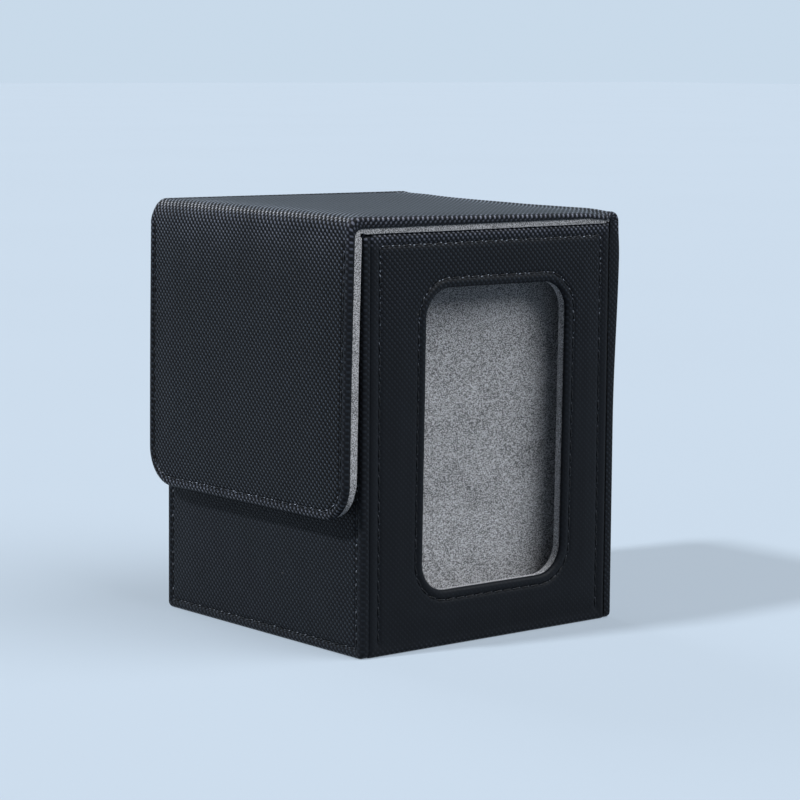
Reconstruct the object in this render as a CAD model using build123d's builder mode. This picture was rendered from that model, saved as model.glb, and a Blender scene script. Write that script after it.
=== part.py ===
from build123d import *
import os

os.makedirs("parts", exist_ok=True)

# Body of the box, outside the leather. The flap closes over the front, -Y, and the window looks to +X.
body_width = 88.0
body_depth = 88.0
body_height = 110.0

# Layers of a wall, from the outside in
skin_thickness = 0.7
board_thickness = 1.4
lining_thickness = 1.7
turned_edge_radius = 0.9
panel_corner_radius = 1.6

# Display window, cut through the wall on the right
window_width = 50.0
window_height = 80.0
window_corner_radius = 7.5
window_shift = 1.0
window_board_thickness = 0.7
rim_thickness = 2.4
rim_set_back = 0.3

# Display pocket behind the window
pocket_depth = 5.5
pocket_board_thickness = 1.2
pocket_cover_thickness = 1.0
pocket_top_drop = 3.0

# Lid and flap
cover_overhang = 0.8
lid_clearance = 0.3
flap_clearance = 1.4
flap_drop = 78.1
flap_corner_radius = 7.5
front_fold_inner_radius = 1.0
cover_lining_inset = 0.4

# Magnets let into the boards of the flap and of the front
magnet_diameter = 12.0
magnet_thickness = 1.2
magnet_clearance = 0.1
magnet_spacing = 48.0
magnet_rise = 14.0

# Stitching
stitch_pitch = 3.5
stitch_length = 2.7
thread_width = 0.55
thread_thickness = 0.3
channel_width = 1.0
channel_depth = 0.35
seam_inset = 2.5
window_seam_inset = 3.3
ring_seam_distance = 2.6

# Depths of the layers under the outer face
panel_depth = skin_thickness + board_thickness
wall_depth = panel_depth + lining_thickness
window_panel_depth = skin_thickness + window_board_thickness
window_wall_depth = window_panel_depth + rim_thickness

# Faces of the body that other pieces meet
half_width = body_width / 2
half_depth = body_depth / 2
side_inner_x = -half_width + wall_depth
rim_inner_x = half_width - window_wall_depth
inner_width = rim_inner_x - side_inner_x
inner_middle_x = (rim_inner_x + side_inner_x) / 2
inner_depth = body_depth - 2 * wall_depth
between_panels = body_depth - 2 * panel_depth
base_top = panel_depth + lining_thickness
window_middle_z = body_height / 2
pocket_face_x = rim_inner_x - pocket_depth
pocket_top = body_height - pocket_top_drop

# Lid, flap and the two folds. The rear fold turns about the crease of the lining.
cover_width = body_width + 2 * cover_overhang
lid_top = body_height + lid_clearance + wall_depth
crease_y = half_depth - wall_depth
crease_z = body_height + lid_clearance
front_fold_y = -half_depth - flap_clearance + front_fold_inner_radius
front_fold_z = body_height + lid_clearance - front_fold_inner_radius
flap_face_y = -half_depth - flap_clearance - wall_depth
flap_low = lid_top - flap_drop
magnet_height = flap_low + magnet_rise

# Outer face of each panel. Local Y is height, or depth on the lid.
front_plane = Plane(origin=(0, -half_depth, 0), x_dir=(1, 0, 0), z_dir=(0, -1, 0))
back_plane = Plane(origin=(0, half_depth, 0), x_dir=(-1, 0, 0), z_dir=(0, 1, 0))
side_plane = Plane(origin=(-half_width, 0, 0), x_dir=(0, -1, 0), z_dir=(-1, 0, 0))
window_plane = Plane(origin=(half_width, 0, 0), x_dir=(0, 1, 0), z_dir=(1, 0, 0))
base_plane = Plane(origin=(0, 0, 0), x_dir=(1, 0, 0), z_dir=(0, 0, -1))
lid_plane = Plane(origin=(0, 0, lid_top), x_dir=(1, 0, 0), z_dir=(0, 0, 1))
flap_plane = Plane(origin=(0, flap_face_y, 0), x_dir=(1, 0, 0), z_dir=(0, -1, 0))
pocket_plane = Plane(origin=(pocket_face_x, 0, 0), x_dir=(0, 1, 0), z_dir=(1, 0, 0))


def finish(piece, label):
    """Names a finished piece and writes it."""
    piece.part.label = label
    export_step(piece.part, f"parts/{label}.step")


def sheet(width, low, high, low_radius=0.0, high_radius=0.0, middle=0.0):
    """A rectangle from low to high, with its lower and upper corners rounded."""
    with BuildSketch() as outline:
        with Locations((middle, (low + high) / 2)):
            Rectangle(width, high - low)
        corners = outline.vertices().group_by(Axis.Y)
        if low_radius > 0:
            fillet(corners[0], low_radius)
        if high_radius > 0:
            fillet(corners[-1], high_radius)
    return outline.sketch


def window_hole(growth):
    """The window's outline, grown on all sides."""
    with BuildSketch() as hole:
        with Locations((window_shift, window_middle_z)):
            RectangleRounded(
                window_width + 2 * growth,
                window_height + 2 * growth,
                window_corner_radius + growth,
            )
    return hole.sketch


def square_seam(corners, closed=False):
    """The runs of a seam that turns sharp corners."""
    with BuildLine() as seam:
        Polyline(*corners, close=closed)
    return seam.edges()


def round_seam(corners, radius, closed=False):
    """The runs and corner arcs of a seam that follows a rounded edge."""
    with BuildLine() as seam:
        FilletPolyline(*corners, radius=radius, close=closed)
    return seam.edges()


def edge_seam(width, low, high, inset):
    """The seam round all four edges of a panel."""
    reach = width / 2 - inset
    corners = [
        (-reach, low + inset),
        (reach, low + inset),
        (reach, high - inset),
        (-reach, high - inset),
    ]
    return square_seam(corners, closed=True)


def seam_channels(runs):
    """The channels that the stitching is pressed into."""
    with BuildSketch() as channels:
        for run in runs:
            trace(run, channel_width)
    return channels.sketch


def stitch_marks(runs):
    """The stitches that show along each run of a seam, evenly spaced."""
    spots = []
    for run in runs:
        count = max(1, round(run.length / stitch_pitch))
        for step in range(count):
            along = (step + 0.5) / count
            place = run.position_at(along)
            turn = run.tangent_angle_at(along)
            spots.append(Location((place.X, place.Y, 0), (0, 0, turn)))
    with BuildSketch() as marks:
        with Locations(*spots):
            Rectangle(stitch_length, thread_width)
    return marks.sketch


def leather(label, plane, outline, filling, depth, seams, open_ends=(), hole=None):
    """Leather over the face of a board, turned in over the board's edges but not at open ends."""
    with BuildPart() as skin:
        with BuildSketch(plane):
            add(outline)
            if hole:
                add(hole, mode=Mode.SUBTRACT)
        extrude(amount=-(skin_thickness + depth))
        outer_face = skin.faces().sort_by(Axis(plane.origin, plane.z_dir))[-1]
        turned = [
            edge
            for edge in outer_face.edges()
            if all(abs(plane.to_local_coords(edge.center()).Y - end) > 0.01 for end in open_ends)
        ]
        fillet(turned, turned_edge_radius)
        with BuildSketch(plane.offset(-skin_thickness)):
            add(filling)
        extrude(amount=-depth, mode=Mode.SUBTRACT)
        if seams:
            with BuildSketch(plane):
                add(seam_channels(seams))
            extrude(amount=-channel_depth, mode=Mode.SUBTRACT)
    finish(skin, label)


def layer(label, plane, outline, depth, thickness, magnet_seats=None):
    """A flat board or lining that lies at a depth under the outer face."""
    with BuildPart() as flat:
        with BuildSketch(plane.offset(-depth)):
            add(outline)
        extrude(amount=-thickness)
        if magnet_seats:
            with BuildSketch(magnet_seats):
                with GridLocations(magnet_spacing, 0, 2, 1):
                    Circle(magnet_diameter / 2 + magnet_clearance)
            extrude(amount=-magnet_thickness, mode=Mode.SUBTRACT)
    finish(flat, label)


def stitching(label, plane, seams):
    """Stitches that lie in their channel, no higher than the leather."""
    with BuildPart() as thread:
        with BuildSketch(plane.offset(-channel_depth)):
            add(stitch_marks(seams))
        extrude(amount=thread_thickness)
    finish(thread, label)


def magnets(label, seats):
    """Two disc magnets, one in each seat."""
    with BuildPart() as pair:
        with BuildSketch(seats):
            with GridLocations(magnet_spacing, 0, 2, 1):
                Circle(magnet_diameter / 2)
        extrude(amount=-magnet_thickness)
    finish(pair, label)


# Front wall, behind the flap
front_magnet_plane = Plane(
    origin=(0, -half_depth + skin_thickness, magnet_height), x_dir=(1, 0, 0), z_dir=(0, -1, 0)
)
front_seams = edge_seam(body_width, 0, body_height, seam_inset)
front_outline = sheet(body_width, 0, body_height, panel_corner_radius, panel_corner_radius)
front_core = sheet(
    body_width - 2 * skin_thickness,
    skin_thickness,
    body_height - skin_thickness,
    panel_corner_radius - skin_thickness,
    panel_corner_radius - skin_thickness,
)
leather("front_skin", front_plane, front_outline, front_core, board_thickness, front_seams)
layer("front_board", front_plane, front_core, skin_thickness, board_thickness, front_magnet_plane)
magnets("front_magnets", front_magnet_plane)
layer(
    "front_lining",
    front_plane,
    sheet(inner_width, panel_depth, body_height, middle=inner_middle_x),
    panel_depth,
    lining_thickness,
)
stitching("front_stitching", front_plane, front_seams)

# Back wall, which runs up into the rear fold
back_reach = body_width / 2 - seam_inset
back_seams = square_seam(
    [
        (-back_reach, crease_z - seam_inset),
        (-back_reach, seam_inset),
        (back_reach, seam_inset),
        (back_reach, crease_z - seam_inset),
    ]
)
back_outline = sheet(body_width, 0, crease_z, panel_corner_radius)
back_core = sheet(
    body_width - 2 * skin_thickness,
    skin_thickness,
    crease_z,
    panel_corner_radius - skin_thickness,
)
leather("back_skin", back_plane, back_outline, back_core, board_thickness, back_seams, [crease_z])
layer("back_board", back_plane, back_core, skin_thickness, board_thickness)
layer(
    "back_lining",
    back_plane,
    sheet(inner_width, panel_depth, crease_z, middle=-inner_middle_x),
    panel_depth,
    lining_thickness,
)
stitching("back_stitching", back_plane, back_seams)

# Closed side wall on the left, between the front and the back
side_seams = edge_seam(between_panels, 0, body_height, seam_inset)
side_core = sheet(
    between_panels - 2 * skin_thickness, skin_thickness, body_height - skin_thickness
)
leather(
    "side_skin",
    side_plane,
    sheet(between_panels, 0, body_height),
    side_core,
    board_thickness,
    side_seams,
)
layer("side_board", side_plane, side_core, skin_thickness, board_thickness)
layer(
    "side_lining",
    side_plane,
    sheet(between_panels, panel_depth, body_height),
    panel_depth,
    lining_thickness,
)
stitching("side_stitching", side_plane, side_seams)

# Window wall on the right, with a padded rim behind its board
window_reach = between_panels / 2 - window_seam_inset
window_seams = square_seam(
    [
        (-window_reach, window_seam_inset),
        (-window_reach, body_height - window_seam_inset),
        (window_reach, body_height - window_seam_inset),
        (window_reach, window_seam_inset),
    ]
)
ring_reach_y = window_width / 2 + ring_seam_distance
ring_reach_z = window_height / 2 + ring_seam_distance
ring_seams = round_seam(
    [
        (window_shift - ring_reach_y, window_middle_z - ring_reach_z),
        (window_shift + ring_reach_y, window_middle_z - ring_reach_z),
        (window_shift + ring_reach_y, window_middle_z + ring_reach_z),
        (window_shift - ring_reach_y, window_middle_z + ring_reach_z),
    ],
    window_corner_radius + ring_seam_distance,
    closed=True,
)
window_core = sheet(
    between_panels - 2 * skin_thickness, skin_thickness, body_height - skin_thickness
) - window_hole(skin_thickness)
leather(
    "window_skin",
    window_plane,
    sheet(between_panels, 0, body_height),
    window_core,
    window_board_thickness,
    window_seams + ring_seams,
    hole=window_hole(0),
)
layer("window_board", window_plane, window_core, skin_thickness, window_board_thickness)
layer(
    "window_rim",
    window_plane,
    sheet(between_panels, panel_depth, body_height) - window_hole(rim_set_back),
    window_panel_depth,
    rim_thickness,
)
stitching("window_edge_stitching", window_plane, window_seams)
stitching("window_ring_stitching", window_plane, ring_seams)

# Partition that makes the display pocket behind the window
partition = sheet(inner_depth, base_top, pocket_top)
layer("pocket_face", pocket_plane, partition, 0, pocket_cover_thickness)
layer(
    "pocket_board", pocket_plane, partition, pocket_cover_thickness, pocket_board_thickness
)
layer(
    "pocket_back",
    pocket_plane,
    partition,
    pocket_cover_thickness + pocket_board_thickness,
    pocket_cover_thickness,
)

# Base, between the four walls
base_middle_x = (panel_depth - window_panel_depth) / 2
base_width = body_width - panel_depth - window_panel_depth
base_core = sheet(
    base_width - 2 * skin_thickness,
    -between_panels / 2 + skin_thickness,
    between_panels / 2 - skin_thickness,
    middle=base_middle_x,
)
leather(
    "base_skin",
    base_plane,
    sheet(base_width, -between_panels / 2, between_panels / 2, middle=base_middle_x),
    base_core,
    board_thickness,
    [],
)
layer("base_board", base_plane, base_core, skin_thickness, board_thickness)
layer(
    "base_lining",
    base_plane,
    sheet(inner_width, -inner_depth / 2, inner_depth / 2, middle=inner_middle_x),
    panel_depth,
    lining_thickness,
)

# Lid, from the front fold to the rear fold
seam_reach = cover_width / 2 - seam_inset
lid_seams = [
    run
    for side in (-1, 1)
    for run in square_seam([(side * seam_reach, front_fold_y), (side * seam_reach, crease_y)])
]
lid_core = sheet(cover_width - 2 * skin_thickness, front_fold_y, crease_y)
leather(
    "lid_skin",
    lid_plane,
    sheet(cover_width, front_fold_y, crease_y),
    lid_core,
    board_thickness,
    lid_seams,
    [front_fold_y, crease_y],
)
layer("lid_board", lid_plane, lid_core, skin_thickness, board_thickness)
layer(
    "lid_lining",
    lid_plane,
    sheet(cover_width - 2 * cover_lining_inset, front_fold_y, crease_y),
    panel_depth,
    lining_thickness,
)
stitching("lid_stitching", lid_plane, lid_seams)

# Flap, hanging from the front fold
flap_magnet_plane = Plane(
    origin=(0, flap_face_y + panel_depth - magnet_thickness, magnet_height),
    x_dir=(1, 0, 0),
    z_dir=(0, -1, 0),
)
flap_seams = round_seam(
    [
        (-seam_reach, front_fold_z),
        (-seam_reach, flap_low + seam_inset),
        (seam_reach, flap_low + seam_inset),
        (seam_reach, front_fold_z),
    ],
    flap_corner_radius - seam_inset,
)
flap_core = sheet(
    cover_width - 2 * skin_thickness,
    flap_low + skin_thickness,
    front_fold_z,
    flap_corner_radius - skin_thickness,
)
leather(
    "flap_skin",
    flap_plane,
    sheet(cover_width, flap_low, front_fold_z, flap_corner_radius),
    flap_core,
    board_thickness,
    flap_seams,
    [front_fold_z],
)
layer("flap_board", flap_plane, flap_core, skin_thickness, board_thickness, flap_magnet_plane)
magnets("flap_magnets", flap_magnet_plane)
layer(
    "flap_lining",
    flap_plane,
    sheet(
        cover_width - 2 * cover_lining_inset,
        flap_low + cover_lining_inset,
        front_fold_z,
        flap_corner_radius - cover_lining_inset,
    ),
    panel_depth,
    lining_thickness,
)
stitching("flap_stitching", flap_plane, flap_seams)


def quarter_ring(centre, inner, outer, first_angle):
    """A quarter of a ring about a fold's centre, drawn across the hinge."""
    with BuildSketch() as quarter:
        with BuildLine():
            outside = CenterArc(centre, outer, first_angle, 90)
            if inner > 0:
                inside = CenterArc(centre, inner, first_angle, 90)
                Line(outside @ 0, inside @ 0)
                Line(outside @ 1, inside @ 1)
            else:
                Polyline(outside @ 0, centre, outside @ 1)
        make_face()
    return quarter.sketch


def fold(name, centre, lining_radius, first_angle):
    """One living hinge: its lining, a soft core that keeps it round, and its leather."""
    core_radius = lining_radius + lining_thickness
    skin_radius = core_radius + board_thickness
    outer_radius = skin_radius + skin_thickness
    with BuildPart() as fold_lining:
        with BuildSketch(Plane.YZ):
            add(quarter_ring(centre, lining_radius, core_radius, first_angle))
        extrude(amount=cover_width / 2 - cover_lining_inset, both=True)
    finish(fold_lining, f"{name}_fold_lining")
    with BuildPart() as fold_core:
        with BuildSketch(Plane.YZ):
            add(quarter_ring(centre, core_radius, skin_radius, first_angle))
        extrude(amount=cover_width / 2 - skin_thickness, both=True)
    finish(fold_core, f"{name}_fold_core")
    with BuildPart() as fold_skin:
        with BuildSketch(Plane.YZ):
            add(quarter_ring(centre, core_radius, outer_radius, first_angle))
        extrude(amount=cover_width / 2, both=True)
        rims = fold_skin.edges().filter_by(GeomType.CIRCLE).group_by(SortBy.RADIUS)[-1]
        fillet(rims, turned_edge_radius)
        with BuildSketch(Plane.YZ):
            add(quarter_ring(centre, core_radius, skin_radius, first_angle))
        extrude(amount=cover_width / 2 - skin_thickness, both=True, mode=Mode.SUBTRACT)
    finish(fold_skin, f"{name}_fold_skin")


# Rear fold over the back wall, and front fold over the top of the front wall
fold("rear", (crease_y, crease_z), 0, 0)
fold("front", (front_fold_y, front_fold_z), front_fold_inner_radius, 90)
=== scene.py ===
"""Trading card storage box: leather, linings, stitching and stage, built around the box's frame."""

import math
import random

import bmesh
import bpy
from mathutils import Matrix, Quaternion, Vector, noise


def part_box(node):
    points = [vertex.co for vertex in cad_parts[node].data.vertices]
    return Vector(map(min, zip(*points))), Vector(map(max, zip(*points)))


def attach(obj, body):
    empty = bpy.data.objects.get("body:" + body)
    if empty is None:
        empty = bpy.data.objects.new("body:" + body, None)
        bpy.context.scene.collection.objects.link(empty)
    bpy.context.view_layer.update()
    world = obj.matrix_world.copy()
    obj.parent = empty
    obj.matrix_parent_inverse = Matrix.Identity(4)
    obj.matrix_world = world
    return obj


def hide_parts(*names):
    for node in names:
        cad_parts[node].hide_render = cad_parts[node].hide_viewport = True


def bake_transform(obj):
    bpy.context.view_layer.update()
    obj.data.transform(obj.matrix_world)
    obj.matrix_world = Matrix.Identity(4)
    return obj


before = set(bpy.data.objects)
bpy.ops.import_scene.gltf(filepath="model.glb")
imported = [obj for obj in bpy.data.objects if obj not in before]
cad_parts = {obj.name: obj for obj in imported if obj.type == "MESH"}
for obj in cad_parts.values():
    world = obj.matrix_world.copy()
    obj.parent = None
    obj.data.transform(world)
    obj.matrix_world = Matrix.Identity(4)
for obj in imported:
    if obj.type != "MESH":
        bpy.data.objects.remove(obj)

bl_info = {
    "name": "Trading Card Storage Box",
    "version": (1, 0, 0),
    "blender": (4, 5, 0),
    "location": "3D View > Sidebar > Card Box",
    "description": "Dresses a leather card box with its linings, stitching, folds and a plain stage",
    "category": "Add Mesh",
}

MM = 0.001
RIGHT, LEFT = Vector((1, 0, 0)), Vector((-1, 0, 0))
INWARD, OUTWARD = Vector((0, 1, 0)), Vector((0, -1, 0))
UP = Vector((0, 0, 1))
# Distance to an edge or a seam that isn't there
FAR = 1.0
# Points this close together count as one
TOUCHING = 0.01 * MM
# Edges that turn by more than this angle, in radians, count as sharp
SHARP_TURN = 1
# Corner radius of the panels whose boards are cut square
TIGHT_CORNER = 0.6 * MM
# Seed of the slow waves that the lid, the flap and both folds share
COVER_SEED = 3
# Spacing of the grid lines in the middle of a piece
LEATHER_SPACING, LINING_SPACING, BOARD_SPACING = 2 * MM, 3 * MM, 6 * MM


def millimetres(*steps):
    """Lengths given in millimetres, as metres."""
    return [step * MM for step in steps]


# Grid lines beside an edge, as distances from it: close where the leather turns and dips
LEATHER_LINES = millimetres(
    0, 0.08, 0.2, 0.38, 0.6, 0.9, 1.2, 1.5, 1.8, 2.05, 2.25, 2.5, 2.75, 2.95, 3.25, 4, 5
)
WINDOW_LINES = millimetres(
    0, 0.08, 0.2, 0.38, 0.6, 0.9, 1.3, 1.8, 2.3, 2.7, 3.0, 3.3, 3.6, 3.9, 4.4, 5.2, 6.4
)
RING_LINES = millimetres(
    0, 0.08, 0.2, 0.38, 0.6, 0.9, 1.2, 1.6, 2.0, 2.3, 2.6, 2.9, 3.2, 3.6, 4.4, 5.4
)
LINING_LINES = millimetres(0, 1.2, 2.6)
FLAP_LINING_LINES = millimetres(0, 0.25, 0.5, 0.6, 1.2, 2.2, 3.4, 4.6, 6)
BOARD_LINES = millimetres(0, 1.5, 3, 5)


def clamp(value, low=0.0, high=1.0):
    """A value held between two others."""
    return min(max(value, low), high)


def smooth(value):
    """An eased step from 0 to 1."""
    value = clamp(value)
    return value * value * (3 - 2 * value)


def mix(first, second, share):
    """The value that lies the given share of the way from the first to the second."""
    return first + (second - first) * share


def hump(distance, width):
    """A soft hump: 1 in its middle, and almost gone at twice its width."""
    return math.exp(-((distance / width) ** 2))


def fading(distance, reach):
    """A value that fades from 1 with the distance, to about a third at its reach."""
    return math.exp(-distance / reach)


class LeatherSettings(bpy.types.PropertyGroup):
    """Sizes and colours of the leather."""

    thickness: bpy.props.FloatProperty(
        name="Thickness", description="Thickness of the leather", default=0.7 * MM, unit="LENGTH"
    )
    turned_edge: bpy.props.FloatProperty(
        name="Turned edge",
        description="Radius of the leather where it is turned in over a board",
        default=0.9 * MM,
        unit="LENGTH",
    )
    edge_bead: bpy.props.FloatProperty(
        name="Edge bead",
        description="How far the leather swells between an edge and its seam",
        default=0.12 * MM,
        unit="LENGTH",
    )
    seam_depth: bpy.props.FloatProperty(
        name="Seam depth",
        description="How deep the stitching pulls the leather in",
        default=0.38 * MM,
        unit="LENGTH",
    )
    seam_spread: bpy.props.FloatProperty(
        name="Seam spread",
        description="Half width of the furrow along a seam",
        default=0.5 * MM,
        unit="LENGTH",
    )
    padding: bpy.props.FloatProperty(
        name="Padding",
        description="How far the leather stands up in the middle of a panel",
        default=0.3 * MM,
        unit="LENGTH",
    )
    ripple: bpy.props.FloatProperty(
        name="Ripple",
        description="Height of the slow waves in the leather",
        default=0.14 * MM,
        unit="LENGTH",
    )
    thread_spacing: bpy.props.FloatProperty(
        name="Thread spacing",
        description="Distance between the threads of the pressed weave",
        default=0.82 * MM,
        unit="LENGTH",
    )
    thread_slant: bpy.props.FloatProperty(
        name="Thread slant",
        description="How much the raised threads run together along one diagonal",
        default=0.22,
        subtype="FACTOR",
    )
    weave_depth: bpy.props.FloatProperty(
        name="Weave depth",
        description="Depth of the pressed weave",
        default=0.4 * MM,
        unit="LENGTH",
    )
    edge_weave: bpy.props.FloatProperty(
        name="Edge weave",
        description="How much of the weave is left where the leather is stretched round a side edge",
        default=0.25,
        subtype="FACTOR",
    )
    # Less weave at the front's foot also means fewer paler raised threads there: partly painted shade
    # under the flap.
    foot_weave: bpy.props.FloatProperty(
        name="Foot weave",
        description="How much of the weave is left at the foot of the front wall",
        default=0.5,
        subtype="FACTOR",
    )
    ground_colour: bpy.props.FloatVectorProperty(
        name="Ground colour",
        description="Colour of the leather between its raised threads",
        default=(0.0058, 0.0056, 0.006),
        subtype="COLOR",
    )
    # The raised threads are painted paler than the ground: partly the pressed pattern, partly a painted
    # highlight that stands for the sparkle of light on them.
    thread_sheen_colour: bpy.props.FloatVectorProperty(
        name="Thread colour",
        description="Colour of the raised threads",
        default=(0.051, 0.067, 0.093),
        subtype="COLOR",
    )
    thread_shine: bpy.props.FloatProperty(
        name="Thread shine",
        description="How much the raised threads shine",
        default=0.4,
        subtype="FACTOR",
    )
    # Partly rubbing, partly painted highlight: this pale colour stands for light catching the raised
    # threads where folds and edges rub.
    worn_sheen_colour: bpy.props.FloatVectorProperty(
        name="Worn colour",
        description="Colour of the raised threads where folds and edges are rubbed",
        default=(0.18, 0.195, 0.265),
        subtype="COLOR",
    )


class SeamSettings(bpy.types.PropertyGroup):
    """Sizes and colour of the stitching."""

    pitch: bpy.props.FloatProperty(
        name="Pitch", description="Distance from stitch to stitch", default=3.5 * MM, unit="LENGTH"
    )
    length: bpy.props.FloatProperty(
        name="Stitch length", description="Length of one stitch", default=2.9 * MM, unit="LENGTH"
    )
    width: bpy.props.FloatProperty(
        name="Thread width", description="Width of the thread", default=0.6 * MM, unit="LENGTH"
    )
    lift: bpy.props.FloatProperty(
        name="Lift",
        description="Height of the thread's middle over the bottom of its furrow",
        default=0.1 * MM,
        unit="LENGTH",
    )
    slant: bpy.props.FloatProperty(
        name="Slant",
        description="Angle of each stitch to its seam",
        default=math.radians(5),
        subtype="ANGLE",
    )
    panel_inset: bpy.props.FloatProperty(
        name="Panel inset",
        description="Distance of a seam from the edge of its panel",
        default=2.5 * MM,
        unit="LENGTH",
    )
    window_inset: bpy.props.FloatProperty(
        name="Window wall inset",
        description="Distance of the seam from the edge of the window wall",
        default=3.3 * MM,
        unit="LENGTH",
    )
    ring_distance: bpy.props.FloatProperty(
        name="Ring distance",
        description="Distance of the ring seam from the window",
        default=2.6 * MM,
        unit="LENGTH",
    )
    colour: bpy.props.FloatVectorProperty(
        name="Colour",
        description="Colour of the thread",
        default=(0.0045, 0.005, 0.0062),
        subtype="COLOR",
    )
    # A painted highlight: this pale colour is painted on the thread's ends where they should catch the
    # light.
    glint_colour: bpy.props.FloatVectorProperty(
        name="Glint colour",
        description="Colour of the thread where its rubbed ends catch the light",
        default=(0.62, 0.7, 0.85),
        subtype="COLOR",
    )


class LiningSettings(bpy.types.PropertyGroup):
    """Sizes and colours of the linings."""

    soft_edge: bpy.props.FloatProperty(
        name="Soft edge", description="Radius of a lining's edge", default=0.55 * MM, unit="LENGTH"
    )
    rim_edge: bpy.props.FloatProperty(
        name="Rim edge",
        description="Radius of the padded rim's edge behind the window",
        default=0.9 * MM,
        unit="LENGTH",
    )
    wave: bpy.props.FloatProperty(
        name="Wave",
        description="Height of the slow waves in a lining",
        default=0.08 * MM,
        unit="LENGTH",
    )
    dark: bpy.props.FloatVectorProperty(
        name="Dark pile",
        description="Colour of the pile where it lies away from the light",
        default=(0.085, 0.09, 0.098),
        subtype="COLOR",
    )
    light: bpy.props.FloatVectorProperty(
        name="Light pile",
        description="Colour of the pile where it lies towards the light",
        default=(0.82, 0.84, 0.89),
        subtype="COLOR",
    )


class WindowSettings(bpy.types.PropertyGroup):
    """Sizes of the display window."""

    width: bpy.props.FloatProperty(
        name="Width", description="Width of the window", default=49.3 * MM, unit="LENGTH"
    )
    height: bpy.props.FloatProperty(
        name="Height", description="Height of the window", default=80 * MM, unit="LENGTH"
    )
    corner: bpy.props.FloatProperty(
        name="Corner", description="Corner radius of the window", default=8 * MM, unit="LENGTH"
    )
    shift: bpy.props.FloatProperty(
        name="Shift",
        description="How far the window's middle lies towards the back of the box",
        default=1.4 * MM,
        unit="LENGTH",
    )
    lean: bpy.props.FloatProperty(
        name="Lean",
        description="How far the hand cut window leans back at its top and forward at its bottom",
        default=0.5 * MM,
        unit="LENGTH",
    )
    rim_set_back: bpy.props.FloatProperty(
        name="Rim set back",
        description="How far the padded rim stands back from the leather's edge",
        default=0.3 * MM,
        unit="LENGTH",
    )
    # Fading the weave also fades its paler raised threads: the window wall is painted plainer and
    # darker towards its foot, and its paler dots at the top are partly painted highlight.
    top_weave: bpy.props.FloatProperty(
        name="Top weave",
        description="How much of the weave is left at the top of the stretched window wall",
        default=0.42,
        subtype="FACTOR",
    )
    low_weave: bpy.props.FloatProperty(
        name="Low weave",
        description="How much of the weave is left at the foot of the stretched window wall",
        default=0.07,
        subtype="FACTOR",
    )


class CoverSettings(bpy.types.PropertyGroup):
    """Shape of the soft cover: lid, folds, flap and back."""

    flap_corner: bpy.props.FloatProperty(
        name="Flap corner",
        description="Radius of the flap's lower corners",
        default=10.3 * MM,
        unit="LENGTH",
    )
    panel_corner: bpy.props.FloatProperty(
        name="Panel corner",
        description="Corner radius of the front and back panels",
        default=1.6 * MM,
        unit="LENGTH",
    )
    left_front_rise: bpy.props.FloatProperty(
        name="Left front rise",
        description="How far the padded lid stands up at its left front corner",
        default=1.15 * MM,
        unit="LENGTH",
    )
    left_rear_rise: bpy.props.FloatProperty(
        name="Left rear rise",
        description="How far the padded lid stands up at its left rear corner",
        default=0.9 * MM,
        unit="LENGTH",
    )
    right_front_rise: bpy.props.FloatProperty(
        name="Right front rise",
        description="How far the padded lid stands up at its right front corner",
        default=0.3 * MM,
        unit="LENGTH",
    )
    right_rear_rise: bpy.props.FloatProperty(
        name="Right rear rise",
        description="How far the padded lid stands up at its right rear corner",
        default=-1.25 * MM,
        unit="LENGTH",
    )
    rear_hollow: bpy.props.FloatProperty(
        name="Rear hollow",
        description="How fast the rear of the lid sinks from its left edge: 1 is a straight slope",
        default=3.0,
    )
    corner_droop: bpy.props.FloatProperty(
        name="Corner droop",
        description="How far the lid droops at its right rear corner alone",
        default=0.7 * MM,
        unit="LENGTH",
    )
    # The rubbing of a fold, with its painted highlight, reaches this far into the panels beside it
    fold_rub: bpy.props.FloatProperty(
        name="Fold rub",
        description="How far the wear of a fold reaches into the panels beside it",
        default=5 * MM,
        unit="LENGTH",
    )
    lid_lip: bpy.props.FloatProperty(
        name="Lid lip",
        description="How far the lid's leather reaches down over the edge of its lining",
        default=0.5 * MM,
        unit="LENGTH",
    )
    flap_lip: bpy.props.FloatProperty(
        name="Flap lip",
        description="How far the flap's leather falls short of its lining",
        default=0.4 * MM,
        unit="LENGTH",
    )
    lining_swell: bpy.props.FloatProperty(
        name="Lining swell",
        description="How far the linings of lid and flap swell towards the box",
        default=0.28 * MM,
        unit="LENGTH",
    )
    flap_flare: bpy.props.FloatProperty(
        name="Flap flare",
        description="How far the flap's lower edge stands off",
        default=1.35 * MM,
        unit="LENGTH",
    )
    back_fullness: bpy.props.FloatProperty(
        name="Back fullness",
        description="How far the whole back leather stands off its board",
        default=0.65 * MM,
        unit="LENGTH",
    )
    back_flare: bpy.props.FloatProperty(
        name="Back flare",
        description="How much further the back leather stands off below the rear fold",
        default=1.45 * MM,
        unit="LENGTH",
    )
    left_flatness: bpy.props.FloatProperty(
        name="Left flatness",
        description="How much flatter the back leather lies on the left, below the open lid",
        default=0.6,
        subtype="FACTOR",
    )
    foot_spread: bpy.props.FloatProperty(
        name="Foot spread",
        description="How far the leather of the walls stands off towards its foot",
        default=0.4 * MM,
        unit="LENGTH",
    )
    left_fullness: bpy.props.FloatProperty(
        name="Left fullness",
        description="How far the front fold bulges at its left end",
        default=-0.15 * MM,
        unit="LENGTH",
    )
    right_fullness: bpy.props.FloatProperty(
        name="Right fullness",
        description="How far the front fold bulges at its right end",
        default=0.9 * MM,
        unit="LENGTH",
    )
    lid_weave: bpy.props.FloatProperty(
        name="Lid weave",
        description="How much of the weave is left in the middle of the lid",
        default=0.3,
        subtype="FACTOR",
    )
    left_pinch: bpy.props.FloatProperty(
        name="Left pinch",
        description="How far the folds draw in at the left, halfway round their turn",
        default=0.5 * MM,
        unit="LENGTH",
    )


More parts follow.
